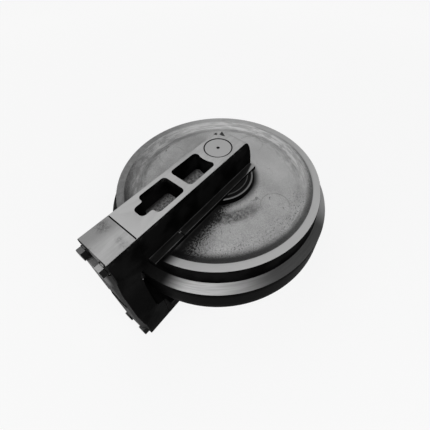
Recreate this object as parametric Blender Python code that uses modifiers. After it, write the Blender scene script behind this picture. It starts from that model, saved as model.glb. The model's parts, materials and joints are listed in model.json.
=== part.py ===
"""Front idler of a twenty tonne class excavator, lying on one of its bearing arms.

Units are metres and +Z is up. The idler lies on its side, so its spin axis is vertical.
The arms run along X: the yoke that takes the track tensioner is at -X, the free noses at +X.
Every piece is described from the centre of the wheel, and the empty called idler_centre
moves that centre to its place above the middle of the footprint.
"""
import math

import bmesh
import bpy
from mathutils import Matrix, Vector

# Wheel, radii about the spin axis and heights from its middle plane
TREAD_RADIUS = 0.250
TREAD_EDGE_CHAMFER = 0.002
GUIDE_FLANGE_HEIGHT = 0.023
GUIDE_ROOT_RISE = 0.007
GUIDE_ROOT_HALF = 0.042
GUIDE_CREST_HALF = 0.034
ROOT_FILLET = 0.008
WHEEL_HALF_WIDTH = 0.088
RIM_FACE_WIDTH = 0.018
VALLEY_OUTER_WIDTH = 0.020
VALLEY_INNER_WIDTH = 0.020
VALLEY_DEPTH = 0.013
WEB_DEPTH = 0.004
WEB_THICKNESS = 0.015
RIM_WALL = 0.022
COLLAR_TOP_WIDTH = 0.020
COLLAR_SLOPE_WIDTH = 0.008
COLLAR_DEPTH = 0.0005
HUB_WALL_INSET = 0.004
CORE_PLUG_INNER_MARGIN = 0.007
CORE_PLUG_OUTER_MARGIN = 0.001
CORE_PLUG_COUNT = 4
CORE_PLUG_FIRST_ANGLE = math.radians(5)

# Shaft, bushings and seals
SHAFT_END_RADIUS = 0.0315
JOURNAL_STEP = 0.0045
JOURNAL_INSET = 0.027
SHAFT_INSET = 0.0005
SHAFT_CHAMFER = 0.0012
CENTRE_DRILL_RADIUS = 0.0034
CENTRE_DRILL_DEPTH = 0.009
OIL_BORE_RADIUS = 0.004
OIL_CROSS_RADIUS = 0.003
OIL_PLUG_RADIUS = 0.008
OIL_PLUG_LENGTH = 0.014
OIL_PLUG_SOCKET_FLATS = 0.008
OIL_PLUG_SOCKET_DEPTH = 0.006
BUSH_WALL = 0.0044
BUSH_INNER_END = 0.0083
BUSH_FLANGE_THICKNESS = 0.0047
BUSH_FLANGE_WIDTH = 0.006
SEAL_PLANE_INSET = 0.010
SEAL_RING_WALL = 0.0062
SEAL_FACE_WIDTH = 0.0105
SEAL_FACE_THICKNESS = 0.004
TORIC_SECTION_RADIUS = 0.005
SEAL_HOUSING_GAP = 0.003
SHAFT_RING_BELOW_PIN = 0.030
SHAFT_RING_SECTION = 0.00135
SHAFT_RING_GROOVE_DEPTH = 0.0031
SHAFT_RING_GROOVE_WIDTH = 0.004

# Bearing arms
OVERALL_HALF_WIDTH = 0.185
ARM_SIDE_WALL = 0.0085
ARM_WALL_BEYOND_SHAFT = 0.0175
NOSE_REACH = 0.030
ARM_RIM_GAP = 0.008
LEDGE_REACH = 0.019
LEDGE_START_SETBACK = 0.0055
LEDGE_END_SETBACK = 0.006
LEDGE_RIM_GAP = 0.0063
LEDGE_THICKNESS = 0.008
ARM_COLLAR_WALL = 0.0242
ARM_COLLAR_RISE = 0.001
ARM_COLLAR_STEP_WIDTH = 0.0095
ARM_COLLAR_STEP_HEIGHT = 0.0025
ARM_BOSS_WALL = 0.006
HUB_RECESS_CLEARANCE = 0.0035
POCKET_WALL = 0.0095
POCKET_FLOOR_THICKNESS = 0.018
POCKET_CORNER = 0.009
POCKET_DRAFT = 0.0025
POCKET_RIB = 0.0145
SHAFT_BOSS_WALL = 0.017
SHAFT_POCKET_LENGTH = 0.0735
POCKET_NOTCH_LENGTH = 0.0245
POCKET_NOTCH_WALL = 0.0035
POCKET_END_WALL = 0.0345
RELIEF_END_WALL = 0.016
RELIEF_COLLAR_WALL = 0.0155
RELIEF_DEPTH = 0.024
RELIEF_SIDE_WALL = 0.010
EDGE_CHAMFER = 0.0012

# Guide strips on the ledges
STRIP_THICKNESS = 0.0034
SHORT_STRIP_LENGTH = 0.079
STRIP_SPLIT_GAP = 0.0015

# Lock pins that hold the shaft in the arms
LOCK_PIN_RADIUS = 0.007
LOCK_PIN_BITE = 0.0145
LOCK_PIN_DEPTH = 0.035
LOCK_PIN_INNER_X = -0.030
LOCK_PIN_INSET = 0.002

# Yoke
YOKE_FLANGE_GAP = 0.013
BEAM_THICKNESS = 0.042
EAR_FILLET_RUN = 0.0197
EAR_ARM_STEP = 0.002
PAD_HEIGHT = 0.009
PAD_END_SETBACK = 0.035
PAD_EDGE_SLOPE = 0.014
PAD_FOOT = 0.001
BEAM_SIDE_INSET = 0.006
SIDE_RECESS_SETBACK = 0.0117
SIDE_RECESS_OUTER_DISTANCE = 0.058
SIDE_RECESS_INNER_DISTANCE = 0.100
SIDE_RECESS_DROP = 0.067
SEAT_BORE_WALL = 0.006
SEAT_BORE_DEPTH = 0.014

# Yoke bolts, washers and their seats
BOLT_RADIUS = 0.008
BOLT_HEAD_FLATS = 0.024
BOLT_HEAD_HEIGHT = 0.010
BOLT_SIDE_DISTANCE = 0.014
BOLT_EDGE_DISTANCE = 0.0245
BOLT_GRIP_IN_ARM = 0.030
WASHER_WIDTH = 0.006
WASHER_THICKNESS = 0.0025
SPOT_FACE_MARGIN = 0.0015
SPOT_FACE_DEPTH = 0.001

# Clearances
SEAT_GAP = 0.0003
BOLT_HOLE_CLEARANCE = 0.001
THREAD_RUNOUT = 0.003

# Facets
WHEEL_SEGMENTS = 48
SHAFT_SEGMENTS = 32
SEAL_SEGMENTS = 24
PIN_SEGMENTS = 16
PLUG_SEGMENTS = 20
OIL_CROSS_SEGMENTS = 8
ARC_STEPS = 4

HALF_TURN = math.pi
MERGE = 0.00001
CUT_MARGIN = 0.010

# Radii that follow, from the shaft out to the guide flange
JOURNAL_RADIUS = SHAFT_END_RADIUS + JOURNAL_STEP
SHAFT_BORE_RADIUS = SHAFT_END_RADIUS + SEAT_GAP
BUSH_BORE_RADIUS = JOURNAL_RADIUS + SEAT_GAP
BUSH_RADIUS = BUSH_BORE_RADIUS + BUSH_WALL
HUB_BORE_RADIUS = BUSH_RADIUS + SEAT_GAP
BUSH_FLANGE_RADIUS = BUSH_RADIUS + BUSH_FLANGE_WIDTH
ARM_BOSS_RADIUS = JOURNAL_RADIUS + ARM_BOSS_WALL
SEAL_BORE_RADIUS = ARM_BOSS_RADIUS + 5 * SEAT_GAP
SEAL_CONE_RADIUS = SEAL_BORE_RADIUS + SEAL_RING_WALL
SEAL_FACE_RADIUS = SEAL_BORE_RADIUS + SEAL_FACE_WIDTH
TORIC_RADIUS = SEAL_CONE_RADIUS + SEAT_GAP + TORIC_SECTION_RADIUS
SEAL_HOUSING_RADIUS = TORIC_RADIUS + TORIC_SECTION_RADIUS + SEAT_GAP
ARM_COLLAR_RADIUS = SEAL_HOUSING_RADIUS + ARM_COLLAR_WALL
ARM_COLLAR_STEP_RADIUS = ARM_COLLAR_RADIUS - ARM_COLLAR_STEP_WIDTH
HUB_RECESS_RADIUS = ARM_COLLAR_RADIUS + HUB_RECESS_CLEARANCE
HUB_WALL_RADIUS = HUB_RECESS_RADIUS - HUB_WALL_INSET
WEB_START_RADIUS = HUB_RECESS_RADIUS + COLLAR_TOP_WIDTH + COLLAR_SLOPE_WIDTH
RIM_INNER_RADIUS = TREAD_RADIUS - RIM_FACE_WIDTH
VALLEY_RADIUS = RIM_INNER_RADIUS - VALLEY_OUTER_WIDTH
WEB_EDGE_RADIUS = VALLEY_RADIUS - VALLEY_INNER_WIDTH
CORE_PLUG_RADIUS = (WEB_EDGE_RADIUS - CORE_PLUG_OUTER_MARGIN - CORE_PLUG_INNER_MARGIN - WEB_START_RADIUS) / 2
CORE_PLUG_CENTRE_RADIUS = WEB_EDGE_RADIUS - CORE_PLUG_OUTER_MARGIN - CORE_PLUG_RADIUS
GUIDE_ROOT_RADIUS = TREAD_RADIUS + GUIDE_ROOT_RISE
GUIDE_FLANGE_RADIUS = TREAD_RADIUS + GUIDE_FLANGE_HEIGHT

# Heights that follow, from the wheel's middle plane
WEB_HEIGHT = WHEEL_HALF_WIDTH - WEB_DEPTH
COLLAR_HEIGHT = WHEEL_HALF_WIDTH - COLLAR_DEPTH
JOURNAL_HALF_LENGTH = WHEEL_HALF_WIDTH - JOURNAL_INSET
HUB_SEAT_HEIGHT = JOURNAL_HALF_LENGTH - BUSH_FLANGE_THICKNESS - SEAT_GAP
SEAL_PLANE = WHEEL_HALF_WIDTH - SEAL_PLANE_INSET
SEAL_HEIGHT = SEAL_FACE_THICKNESS + 2 * TORIC_SECTION_RADIUS + 2 * SEAT_GAP
TORIC_HEIGHT = SEAL_FACE_THICKNESS + SEAT_GAP + TORIC_SECTION_RADIUS
HUB_RECESS_FLOOR = SEAL_PLANE - SEAL_HOUSING_GAP
ARM_COLLAR_BOTTOM = SEAL_PLANE + SEAL_HOUSING_GAP
SEAL_CAVITY_TOP = SEAL_PLANE + SEAL_HEIGHT + 2 * SEAT_GAP
ARM_BASE = WHEEL_HALF_WIDTH + ARM_RIM_GAP
ARM_COLLAR_TOP = ARM_BASE + ARM_COLLAR_RISE
ARM_COLLAR_STEP_TOP = ARM_COLLAR_TOP + ARM_COLLAR_STEP_HEIGHT
LEDGE_BOTTOM = WHEEL_HALF_WIDTH + LEDGE_RIM_GAP
LEDGE_TOP = LEDGE_BOTTOM + LEDGE_THICKNESS
RELIEF_TOP = ARM_BASE + RELIEF_DEPTH
POCKET_FLOOR = RELIEF_TOP + POCKET_FLOOR_THICKNESS
EAR_INNER_HEIGHT = ARM_BASE - EAR_ARM_STEP
LOCK_PIN_HEIGHT = OVERALL_HALF_WIDTH - LOCK_PIN_DEPTH
SHAFT_RING_HEIGHT = LOCK_PIN_HEIGHT - SHAFT_RING_BELOW_PIN
SHAFT_HALF_LENGTH = OVERALL_HALF_WIDTH - SHAFT_INSET
PAD_HALF_LENGTH = OVERALL_HALF_WIDTH - PAD_END_SETBACK
SIDE_RECESS_OUTER_Z = OVERALL_HALF_WIDTH - SIDE_RECESS_OUTER_DISTANCE
SIDE_RECESS_INNER_Z = OVERALL_HALF_WIDTH - SIDE_RECESS_INNER_DISTANCE
BOLT_HEIGHT = OVERALL_HALF_WIDTH - BOLT_EDGE_DISTANCE

# Places along the arms that follow, X from the spin axis and Y from the middle
BEAM_INNER_X = -(GUIDE_FLANGE_RADIUS + YOKE_FLANGE_GAP)
YOKE_END_X = BEAM_INNER_X - BEAM_THICKNESS
YOKE_JOINT_X = BEAM_INNER_X + EAR_FILLET_RUN
PAD_FACE_X = YOKE_END_X - PAD_HEIGHT
ARM_END_X = YOKE_JOINT_X + SEAT_GAP
ARM_TOP_END_X = SHAFT_END_RADIUS + ARM_WALL_BEYOND_SHAFT
LEDGE_START_X = ARM_END_X + LEDGE_START_SETBACK
LEDGE_END_X = ARM_TOP_END_X + NOSE_REACH - LEDGE_END_SETBACK
STRIP_SPLIT_X = LEDGE_START_X + SHORT_STRIP_LENGTH
SHAFT_POCKET_ARC = SHAFT_END_RADIUS + SHAFT_BOSS_WALL
SHAFT_POCKET_X = -(SHAFT_POCKET_ARC + SHAFT_POCKET_LENGTH)
POCKET_NOTCH_END_X = ARM_END_X + POCKET_END_WALL
YOKE_POCKET_X = (POCKET_NOTCH_END_X + POCKET_NOTCH_LENGTH, SHAFT_POCKET_X - POCKET_RIB)
RELIEF_X = (ARM_END_X + RELIEF_END_WALL, -(ARM_COLLAR_RADIUS + RELIEF_COLLAR_WALL))
SIDE_RECESS_INNER_X = YOKE_JOINT_X - SIDE_RECESS_SETBACK
ARM_HALF_WIDTH = SHAFT_END_RADIUS + ARM_SIDE_WALL
LEDGE_HALF_WIDTH = ARM_HALF_WIDTH + LEDGE_REACH
STRIP_INNER_Y = ARM_HALF_WIDTH + SEAT_GAP
POCKET_HALF_WIDTH = ARM_HALF_WIDTH - POCKET_WALL
RELIEF_HALF_WIDTH = ARM_HALF_WIDTH - RELIEF_SIDE_WALL
BEAM_HALF_WIDTH = ARM_HALF_WIDTH - BEAM_SIDE_INSET
SEAT_BORE_RADIUS = BEAM_HALF_WIDTH - SEAT_BORE_WALL
LOCK_PIN_OFFSET = SHAFT_END_RADIUS + LOCK_PIN_RADIUS - LOCK_PIN_BITE
BOLT_SPACING = 2 * (ARM_HALF_WIDTH - BOLT_SIDE_DISTANCE)
POCKET_NOTCH_HALF_WIDTH = BOLT_SPACING / 2 - BOLT_RADIUS - POCKET_NOTCH_WALL
WASHER_RADIUS = BOLT_RADIUS + WASHER_WIDTH
SPOT_FACE_RADIUS = WASHER_RADIUS + SPOT_FACE_MARGIN
BOLT_SEAT_X = YOKE_END_X + SPOT_FACE_DEPTH
WASHER_OUTER_X = BOLT_SEAT_X - SEAT_GAP - WASHER_THICKNESS
BOLT_HEAD_SEAT_X = WASHER_OUTER_X - SEAT_GAP
BOLT_HEAD_OUTER_X = BOLT_HEAD_SEAT_X - BOLT_HEAD_HEIGHT
BOLT_TIP_X = ARM_END_X + BOLT_GRIP_IN_ARM
FOOTPRINT_MIN_X = min(PAD_FACE_X, BOLT_HEAD_OUTER_X)
CENTRE_X = -(FOOTPRINT_MIN_X + GUIDE_FLANGE_RADIUS) / 2


def clear_scene():
    for old in list(bpy.data.objects):
        bpy.data.objects.remove(old, do_unlink=True)


def new_collection(name):
    collection = bpy.data.collections.new(name)
    bpy.context.scene.collection.children.link(collection)
    return collection


def finish(name, colour, roughness, metallic):
    """A plain Principled material in the colour that the piece has."""
    made = bpy.data.materials.new(name)
    made.use_nodes = True
    shader = made.node_tree.nodes["Principled BSDF"]
    shader.inputs["Base Color"].default_value = (*colour, 1.0)
    shader.inputs["Roughness"].default_value = roughness
    shader.inputs["Metallic"].default_value = metallic
    made.diffuse_color = (*colour, 1.0)
    return made


def empty(name, parent, location=(0, 0, 0)):
    made = bpy.data.objects.new(name, None)
    made.empty_display_size = 0.05
    made.location = location
    made.parent = parent
    PARTS.objects.link(made)
    return made


def add_object(name, data, material, parent, cutter=False):
    made = bpy.data.objects.new(name, data)
    made.parent = parent
    if cutter:
        made.hide_render = True
        made.display_type = "WIRE"
        CUTTERS.objects.link(made)
    else:
        data.materials.append(material)
        PARTS.objects.link(made)
    return made


def from_bmesh(name, bm, material, parent, cutter=False):
    data = bpy.data.meshes.new(name)
    bm.to_mesh(data)
    bm.free()
    return add_object(name, data, material, parent, cutter)


def round_shading(obj):
    obj.data.shade_smooth()
    obj.data.set_sharp_from_angle(angle=math.radians(35))


def turned(name, loops, segments, material, parent, cutter=False):
    """Revolve closed or axis-to-axis profiles of (radius, height) points about Z."""
    bm = bmesh.new()
    for loop in loops:
        points = [bm.verts.new((radius, 0, height)) for radius, height in loop]
        for start, end in zip(points, points[1:]):
            bm.edges.new((start, end))
        if loop[0][0] > MERGE:
            bm.edges.new((points[-1], points[0]))
    made = from_bmesh(name, bm, material, parent, cutter)
    screw = made.modifiers.new("turn", "SCREW")
    screw.steps = segments
    screw.render_steps = segments
    screw.use_merge_vertices = True
    screw.merge_threshold = MERGE
    screw.use_smooth_shade = False
    return made


def combine(obj, other, operation):
    step = obj.modifiers.new(operation.lower(), "BOOLEAN")
    step.operation = operation
    step.solver = "EXACT"
    step.object = other


def cut(obj, cutter):
    combine(obj, cutter, "DIFFERENCE")


def join(obj, other):
    combine(obj, other, "UNION")


def settle(obj):
    """Replace an object's mesh with its evaluated one, so that copies can share it."""
    bpy.context.view_layer.update()
    graph = bpy.context.evaluated_depsgraph_get()
    settled = bpy.data.meshes.new_from_object(obj.evaluated_get(graph))
    settled.name = obj.name
    obj.modifiers.clear()
    obj.data = settled
    return obj


def turned_over(name, original, parent):
    """A second identical piece, turned half a turn about X to the lower side."""
    made = bpy.data.objects.new(name, original.data)
    made.location = (original.location.x, -original.location.y, -original.location.z)
    made.rotation_euler = (HALF_TURN, 0, 0)
    made.parent = parent
    PARTS.objects.link(made)
    return made


def mirrored_profile(upper):
    """Complete a profile given for the upper half by its mirror image, running downwards."""
    return upper + [(radius, -height) for radius, height in reversed(upper)]


def arc(centre, radius, start, end, steps=ARC_STEPS):
    points = []
    for step in range(steps + 1):
        angle = start + (end - start) * step / steps
        points.append((centre[0] + radius * math.cos(angle), centre[1] + radius * math.sin(angle)))
    return points


def rounded(corners, steps=ARC_STEPS):
    """Round the corners of a closed outline given as (x, y, corner radius)."""
    outline = []
    count = len(corners)
    for index, (x, y, radius) in enumerate(corners):
        here = Vector((x, y))
        before = Vector(corners[index - 1][:2]) - here
        after = Vector(corners[(index + 1) % count][:2]) - here
        if radius <= 0:
            outline.append((x, y))
            continue
        half = before.angle(after) / 2
        setback = radius / math.tan(half)
        start = here + before.normalized() * setback
        end = here + after.normalized() * setback
        centre = here + (before.normalized() + after.normalized()).normalized() * (radius / math.sin(half))
        first = math.atan2(start.y - centre.y, start.x - centre.x)
        sweep = math.atan2(end.y - centre.y, end.x - centre.x) - first
        sweep = (sweep + math.pi) % (2 * math.pi) - math.pi
        outline.extend(arc(centre, radius, first, first + sweep, steps))
    return outline


def prism_mesh(outline, low, high, draft=0.0, axis="Z"):
    """Extrude an outline from low to high; draft narrows the low end towards its centre."""
    bm = bmesh.new()
    ring = [bm.verts.new((x, y, low)) for x, y in outline]
    base = bm.faces.new(ring)
    base.normal_update()
    if base.normal.z > 0:
        base.normal_flip()
    grown = bmesh.ops.extrude_face_region(bm, geom=[base])
    moved = [item for item in grown["geom"] if isinstance(item, bmesh.types.BMVert)]
    bmesh.ops.translate(bm, verts=moved, vec=(0, 0, high - low))
    if draft:
        middle = sum((v.co for v in ring), Vector()) / len(ring)
        reach_x = max(abs(v.co.x - middle.x) for v in ring)
        reach_y = max(abs(v.co.y - middle.y) for v in ring)
        shrink = (1 - draft / reach_x, 1 - draft / reach_y, 1)
        away = Matrix.Translation(-middle)
        bmesh.ops.scale(bm, vec=shrink, verts=ring, space=away)
    if axis == "Y":
        bmesh.ops.rotate(bm, verts=bm.verts, matrix=Matrix.Rotation(math.pi / 2, 3, "X"))
    bmesh.ops.recalc_face_normals(bm, faces=bm.faces)
    return bm


def cylinder_mesh(radius, start, end, segments, direction="Z"):
    """A capped cylinder whose axis runs from start to end along Z, or along X."""
    bm = bmesh.new()
    length = abs(end - start)
    bmesh.ops.create_cone(bm, cap_ends=True, segments=segments, radius1=radius, radius2=radius, depth=length)
    bmesh.ops.translate(bm, verts=bm.verts, vec=(0, 0, (start + end) / 2))
    if direction == "X":
        bmesh.ops.rotate(bm, verts=bm.verts, matrix=Matrix.Rotation(math.pi / 2, 3, "Y"))
    return bm


def merged(meshes):
    """Gather separate closed bodies into one mesh."""
    gathered = bmesh.new()
    for bm in meshes:
        data = bpy.data.meshes.new("gathered")
        bm.to_mesh(data)
        bm.free()
        gathered.from_mesh(data)
        bpy.data.meshes.remove(data)
    return gathered


def shifted(bm, vector):
    bmesh.ops.translate(bm, verts=bm.verts, vec=vector)
    return bm


def wheel_outline():
    """Upper half of the wheel's section, from the bush seat out to the crest of the guide flange."""
    shoulder_end = GUIDE_FLANGE_RADIUS - TREAD_EDGE_CHAMFER
    return [
        (HUB_BORE_RADIUS, HUB_SEAT_HEIGHT),
        (SEAL_HOUSING_RADIUS, HUB_SEAT_HEIGHT),
        (SEAL_HOUSING_RADIUS, HUB_RECESS_FLOOR),
        (HUB_RECESS_RADIUS, HUB_RECESS_FLOOR),
        (HUB_RECESS_RADIUS, COLLAR_HEIGHT),
        (HUB_RECESS_RADIUS + COLLAR_TOP_WIDTH, COLLAR_HEIGHT),
        (WEB_START_RADIUS, WEB_HEIGHT),
        (WEB_EDGE_RADIUS, WEB_HEIGHT),
        ((WEB_EDGE_RADIUS + VALLEY_RADIUS) / 2, WHEEL_HALF_WIDTH - (WEB_DEPTH + VALLEY_DEPTH) / 2 - 0.001),
        (VALLEY_RADIUS, WHEEL_HALF_WIDTH - VALLEY_DEPTH),
        (RIM_INNER_RADIUS - 0.002, WHEEL_HALF_WIDTH - 0.002),
        (RIM_INNER_RADIUS + 0.001, WHEEL_HALF_WIDTH),
        (TREAD_RADIUS - TREAD_EDGE_CHAMFER, WHEEL_HALF_WIDTH),
        (TREAD_RADIUS, WHEEL_HALF_WIDTH - TREAD_EDGE_CHAMFER),
        (TREAD_RADIUS, GUIDE_ROOT_HALF + ROOT_FILLET),
        (TREAD_RADIUS + ROOT_FILLET * 0.25, GUIDE_ROOT_HALF + ROOT_FILLET * 0.35),
        (GUIDE_ROOT_RADIUS, GUIDE_ROOT_HALF),
        (shoulder_end, GUIDE_CREST_HALF + TREAD_EDGE_CHAMFER / 2),
        (GUIDE_FLANGE_RADIUS, GUIDE_CREST_HALF - TREAD_EDGE_CHAMFER),
    ]


def wheel_hollow():
    """Section of the cored space between the two webs, running up its outer side."""
    web_inside = WEB_HEIGHT - WEB_THICKNESS
    rim_inside = TREAD_RADIUS - RIM_WALL
    upper = [
        (HUB_WALL_RADIUS, HUB_RECESS_FLOOR - 2 * WEB_THICKNESS),
        (HUB_RECESS_RADIUS + WEB_THICKNESS, web_inside),
        (WEB_EDGE_RADIUS - WEB_THICKNESS / 3, web_inside),
        (VALLEY_RADIUS - WEB_THICKNESS / 2, WHEEL_HALF_WIDTH - VALLEY_DEPTH - WEB_THICKNESS),
        (rim_inside, GUIDE_ROOT_HALF),
    ]
    return list(reversed(mirrored_profile(upper)))


def core_plug_places():
    for index in range(CORE_PLUG_COUNT):
        angle = CORE_PLUG_FIRST_ANGLE + index * 2 * math.pi / CORE_PLUG_COUNT
        along, across = math.cos(angle), math.sin(angle)
        yield index, (CORE_PLUG_CENTRE_RADIUS * along, CORE_PLUG_CENTRE_RADIUS * across, 0)


def build_wheel():
    wheel = turned("idler_wheel", [mirrored_profile(wheel_outline()), wheel_hollow()], WHEEL_SEGMENTS,
                   CAST_PAINT, WHEEL_AXIS)
    holes = []
    for _, place in core_plug_places():
        hole = cylinder_mesh(CORE_PLUG_RADIUS + SEAT_GAP, -WHEEL_HALF_WIDTH, WHEEL_HALF_WIDTH, PLUG_SEGMENTS)
        holes.append(shifted(hole, place))
    cut(wheel, from_bmesh("core_holes", merged(holes), None, WHEEL_AXIS, cutter=True))
    round_shading(settle(wheel))
    web_inside = WEB_HEIGHT - WEB_THICKNESS
    for side, sign in (("upper", 1), ("lower", -1)):
        for index, place in core_plug_places():
            disc = cylinder_mesh(CORE_PLUG_RADIUS, sign * web_inside, sign * WEB_HEIGHT, PLUG_SEGMENTS)
            plug = from_bmesh(f"core_plug_{side}_{index + 1}", disc, CAST_PAINT, WHEEL_AXIS)
            plug.location = place


def build_bushings():
    flange_top = JOURNAL_HALF_LENGTH
    flange_seat = flange_top - BUSH_FLANGE_THICKNESS
    section = [
        (BUSH_BORE_RADIUS, flange_top),
        (BUSH_FLANGE_RADIUS, flange_top),
        (BUSH_FLANGE_RADIUS, flange_seat),
        (BUSH_RADIUS, flange_seat),
        (BUSH_RADIUS, BUSH_INNER_END),
        (BUSH_BORE_RADIUS, BUSH_INNER_END),
    ]
    upper = settle(turned("bushing_upper", [section], SHAFT_SEGMENTS, BRONZE, WHEEL_AXIS))
    round_shading(upper)
    turned_over("bushing_lower", upper, WHEEL_AXIS)


def seal_ring_section(direction):
    """A metal seal ring from its lapped face back along its cone; direction is +1 upwards."""
    face = SEAL_PLANE + direction * SEAT_GAP / 2
    back = SEAL_PLANE + direction * SEAL_HEIGHT
    step = SEAL_PLANE + direction * SEAL_FACE_THICKNESS
    section = [
        (SEAL_BORE_RADIUS, face),
        (SEAL_FACE_RADIUS, face),
        (SEAL_FACE_RADIUS, step),
        (SEAL_CONE_RADIUS, step),
        (SEAL_CONE_RADIUS - 0.001, back),
        (SEAL_BORE_RADIUS, back),
    ]
    return section if direction < 0 else list(reversed(section))


def ring_section(radius, height, section_radius, points=6):
    angles = [-2 * math.pi * (index + 0.5) / points for index in range(points)]
    return [(radius + section_radius * math.cos(a), height + section_radius * math.sin(a)) for a in angles]


def build_seals():
    for part, direction, holder in (("arm", 1, IDLER), ("hub", -1, WHEEL_AXIS)):
        metal = settle(turned(f"seal_ring_{part}_upper", [seal_ring_section(direction)], SEAL_SEGMENTS,
                              BRIGHT_STEEL, holder))
        round_shading(metal)
        turned_over(f"seal_ring_{part}_lower", metal, holder)
        section = ring_section(TORIC_RADIUS, SEAL_PLANE + direction * TORIC_HEIGHT, TORIC_SECTION_RADIUS)
        rubber = settle(turned(f"toric_ring_{part}_upper", [section], SEAL_SEGMENTS, RUBBER, holder))
        round_shading(rubber)
        turned_over(f"toric_ring_{part}_lower", rubber, holder)
    section = ring_section(SHAFT_END_RADIUS - SHAFT_RING_GROOVE_DEPTH + SEAT_GAP + SHAFT_RING_SECTION,
                           SHAFT_RING_HEIGHT, SHAFT_RING_SECTION, 4)
    o_ring = settle(turned("shaft_o_ring_upper", [section], SHAFT_SEGMENTS, RUBBER, IDLER))
    round_shading(o_ring)
    turned_over("shaft_o_ring_lower", o_ring, IDLER)


def lock_pin_cylinder(radius, inner, outer):
    bm = cylinder_mesh(radius, inner, outer, PIN_SEGMENTS, "X")
    return shifted(bm, (0, LOCK_PIN_OFFSET, LOCK_PIN_HEIGHT))


def turned_over_mesh(bm):
    bmesh.ops.rotate(bm, verts=bm.verts, matrix=Matrix.Rotation(HALF_TURN, 3, "X"))
    return bm


def build_shaft():
    groove_low = SHAFT_RING_HEIGHT - SHAFT_RING_GROOVE_WIDTH / 2
    groove_high = SHAFT_RING_HEIGHT + SHAFT_RING_GROOVE_WIDTH / 2
    groove_radius = SHAFT_END_RADIUS - SHAFT_RING_GROOVE_DEPTH
    upper = [
        (SHAFT_END_RADIUS - SHAFT_CHAMFER, SHAFT_HALF_LENGTH),
        (SHAFT_END_RADIUS, SHAFT_HALF_LENGTH - SHAFT_CHAMFER),
        (SHAFT_END_RADIUS, groove_high),
        (groove_radius, groove_high),
        (groove_radius, groove_low),
        (SHAFT_END_RADIUS, groove_low),
        (SHAFT_END_RADIUS, JOURNAL_HALF_LENGTH),
        (JOURNAL_RADIUS, JOURNAL_HALF_LENGTH),
    ]
    outer = mirrored_profile(upper)
    drill_bottom = SHAFT_HALF_LENGTH - CENTRE_DRILL_DEPTH
    plug_top = OIL_PLUG_LENGTH + THREAD_RUNOUT - SHAFT_HALF_LENGTH
    bores = [
        (OIL_PLUG_RADIUS + SEAT_GAP, -SHAFT_HALF_LENGTH),
        (OIL_PLUG_RADIUS + SEAT_GAP, plug_top),
        (OIL_BORE_RADIUS, plug_top),
        (OIL_BORE_RADIUS, OIL_BORE_RADIUS * 2),
        (0, OIL_BORE_RADIUS * 3),
    ]
    drill = [(0, drill_bottom), (CENTRE_DRILL_RADIUS, drill_bottom + CENTRE_DRILL_RADIUS / 2),
             (CENTRE_DRILL_RADIUS, SHAFT_HALF_LENGTH)]
    profile = drill + outer + bores
    shaft = turned("shaft", [profile], SHAFT_SEGMENTS, BRIGHT_STEEL, IDLER)
    feed = cylinder_mesh(OIL_CROSS_RADIUS, -JOURNAL_RADIUS - CUT_MARGIN, JOURNAL_RADIUS + CUT_MARGIN,
                         OIL_CROSS_SEGMENTS, "X")
    notch_end = SHAFT_END_RADIUS + CUT_MARGIN
    notches = [
        lock_pin_cylinder(LOCK_PIN_RADIUS + SEAT_GAP, -notch_end, notch_end),
        turned_over_mesh(lock_pin_cylinder(LOCK_PIN_RADIUS + SEAT_GAP, -notch_end, notch_end)),
    ]
    cut(shaft, from_bmesh("oil_feed", feed, None, IDLER, cutter=True))
    cut(shaft, from_bmesh("pin_notches", merged(notches), None, IDLER, cutter=True))
    round_shading(settle(shaft))
    plug_face = -SHAFT_HALF_LENGTH + SHAFT_INSET
    body = cylinder_mesh(OIL_PLUG_RADIUS, plug_face, plug_face + OIL_PLUG_LENGTH, PIN_SEGMENTS)
    plug = from_bmesh("oil_plug", body, BRIGHT_STEEL, IDLER)
    socket_radius = OIL_PLUG_SOCKET_FLATS / 2 / math.cos(math.pi / 6)
    socket = cylinder_mesh(socket_radius, plug_face - CUT_MARGIN, plug_face + OIL_PLUG_SOCKET_DEPTH, 6)
    cut(plug, from_bmesh("oil_plug_socket", socket, None, IDLER, cutter=True))


def arm_side_profile():
    """Side view of the arm: flat on top, with a nose that rounds down to the ledge."""
    nose = []
    for step in range(1, 7):
        angle = step / 6 * math.pi / 2
        nose.append((ARM_TOP_END_X + NOSE_REACH * math.sin(angle),
                     LEDGE_TOP + (OVERALL_HALF_WIDTH - LEDGE_TOP) * math.cos(angle)))
    return [(ARM_END_X, ARM_BASE), (ARM_END_X, OVERALL_HALF_WIDTH), (ARM_TOP_END_X, OVERALL_HALF_WIDTH),
            *nose, (ARM_TOP_END_X + NOSE_REACH, ARM_BASE)]


def shaft_pocket_outline():
    """The pocket next to the shaft: its far end is an arc about the shaft, with rounded corners."""
    wide = POCKET_HALF_WIDTH
    corner_y = wide - POCKET_CORNER
    reach = SHAFT_POCKET_ARC + POCKET_CORNER
    corner_x = -math.sqrt(reach ** 2 - corner_y ** 2)
    lean = math.asin(corner_y / reach)
    shaft_arc = arc((0, 0), SHAFT_POCKET_ARC, math.pi + lean, math.pi - lean, 2 * ARC_STEPS)
    near_corner = arc((corner_x, -corner_y), POCKET_CORNER, -math.pi / 2, lean)
    far_corner = arc((corner_x, corner_y), POCKET_CORNER, -lean, math.pi / 2)
    rib_end = rounded([(SHAFT_POCKET_X, wide, POCKET_CORNER), (SHAFT_POCKET_X, -wide, POCKET_CORNER),
                       (corner_x, -wide, 0), (corner_x, wide, 0)])[:-2]
    return rib_end + near_corner[:-1] + shaft_arc + far_corner[1:]


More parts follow.
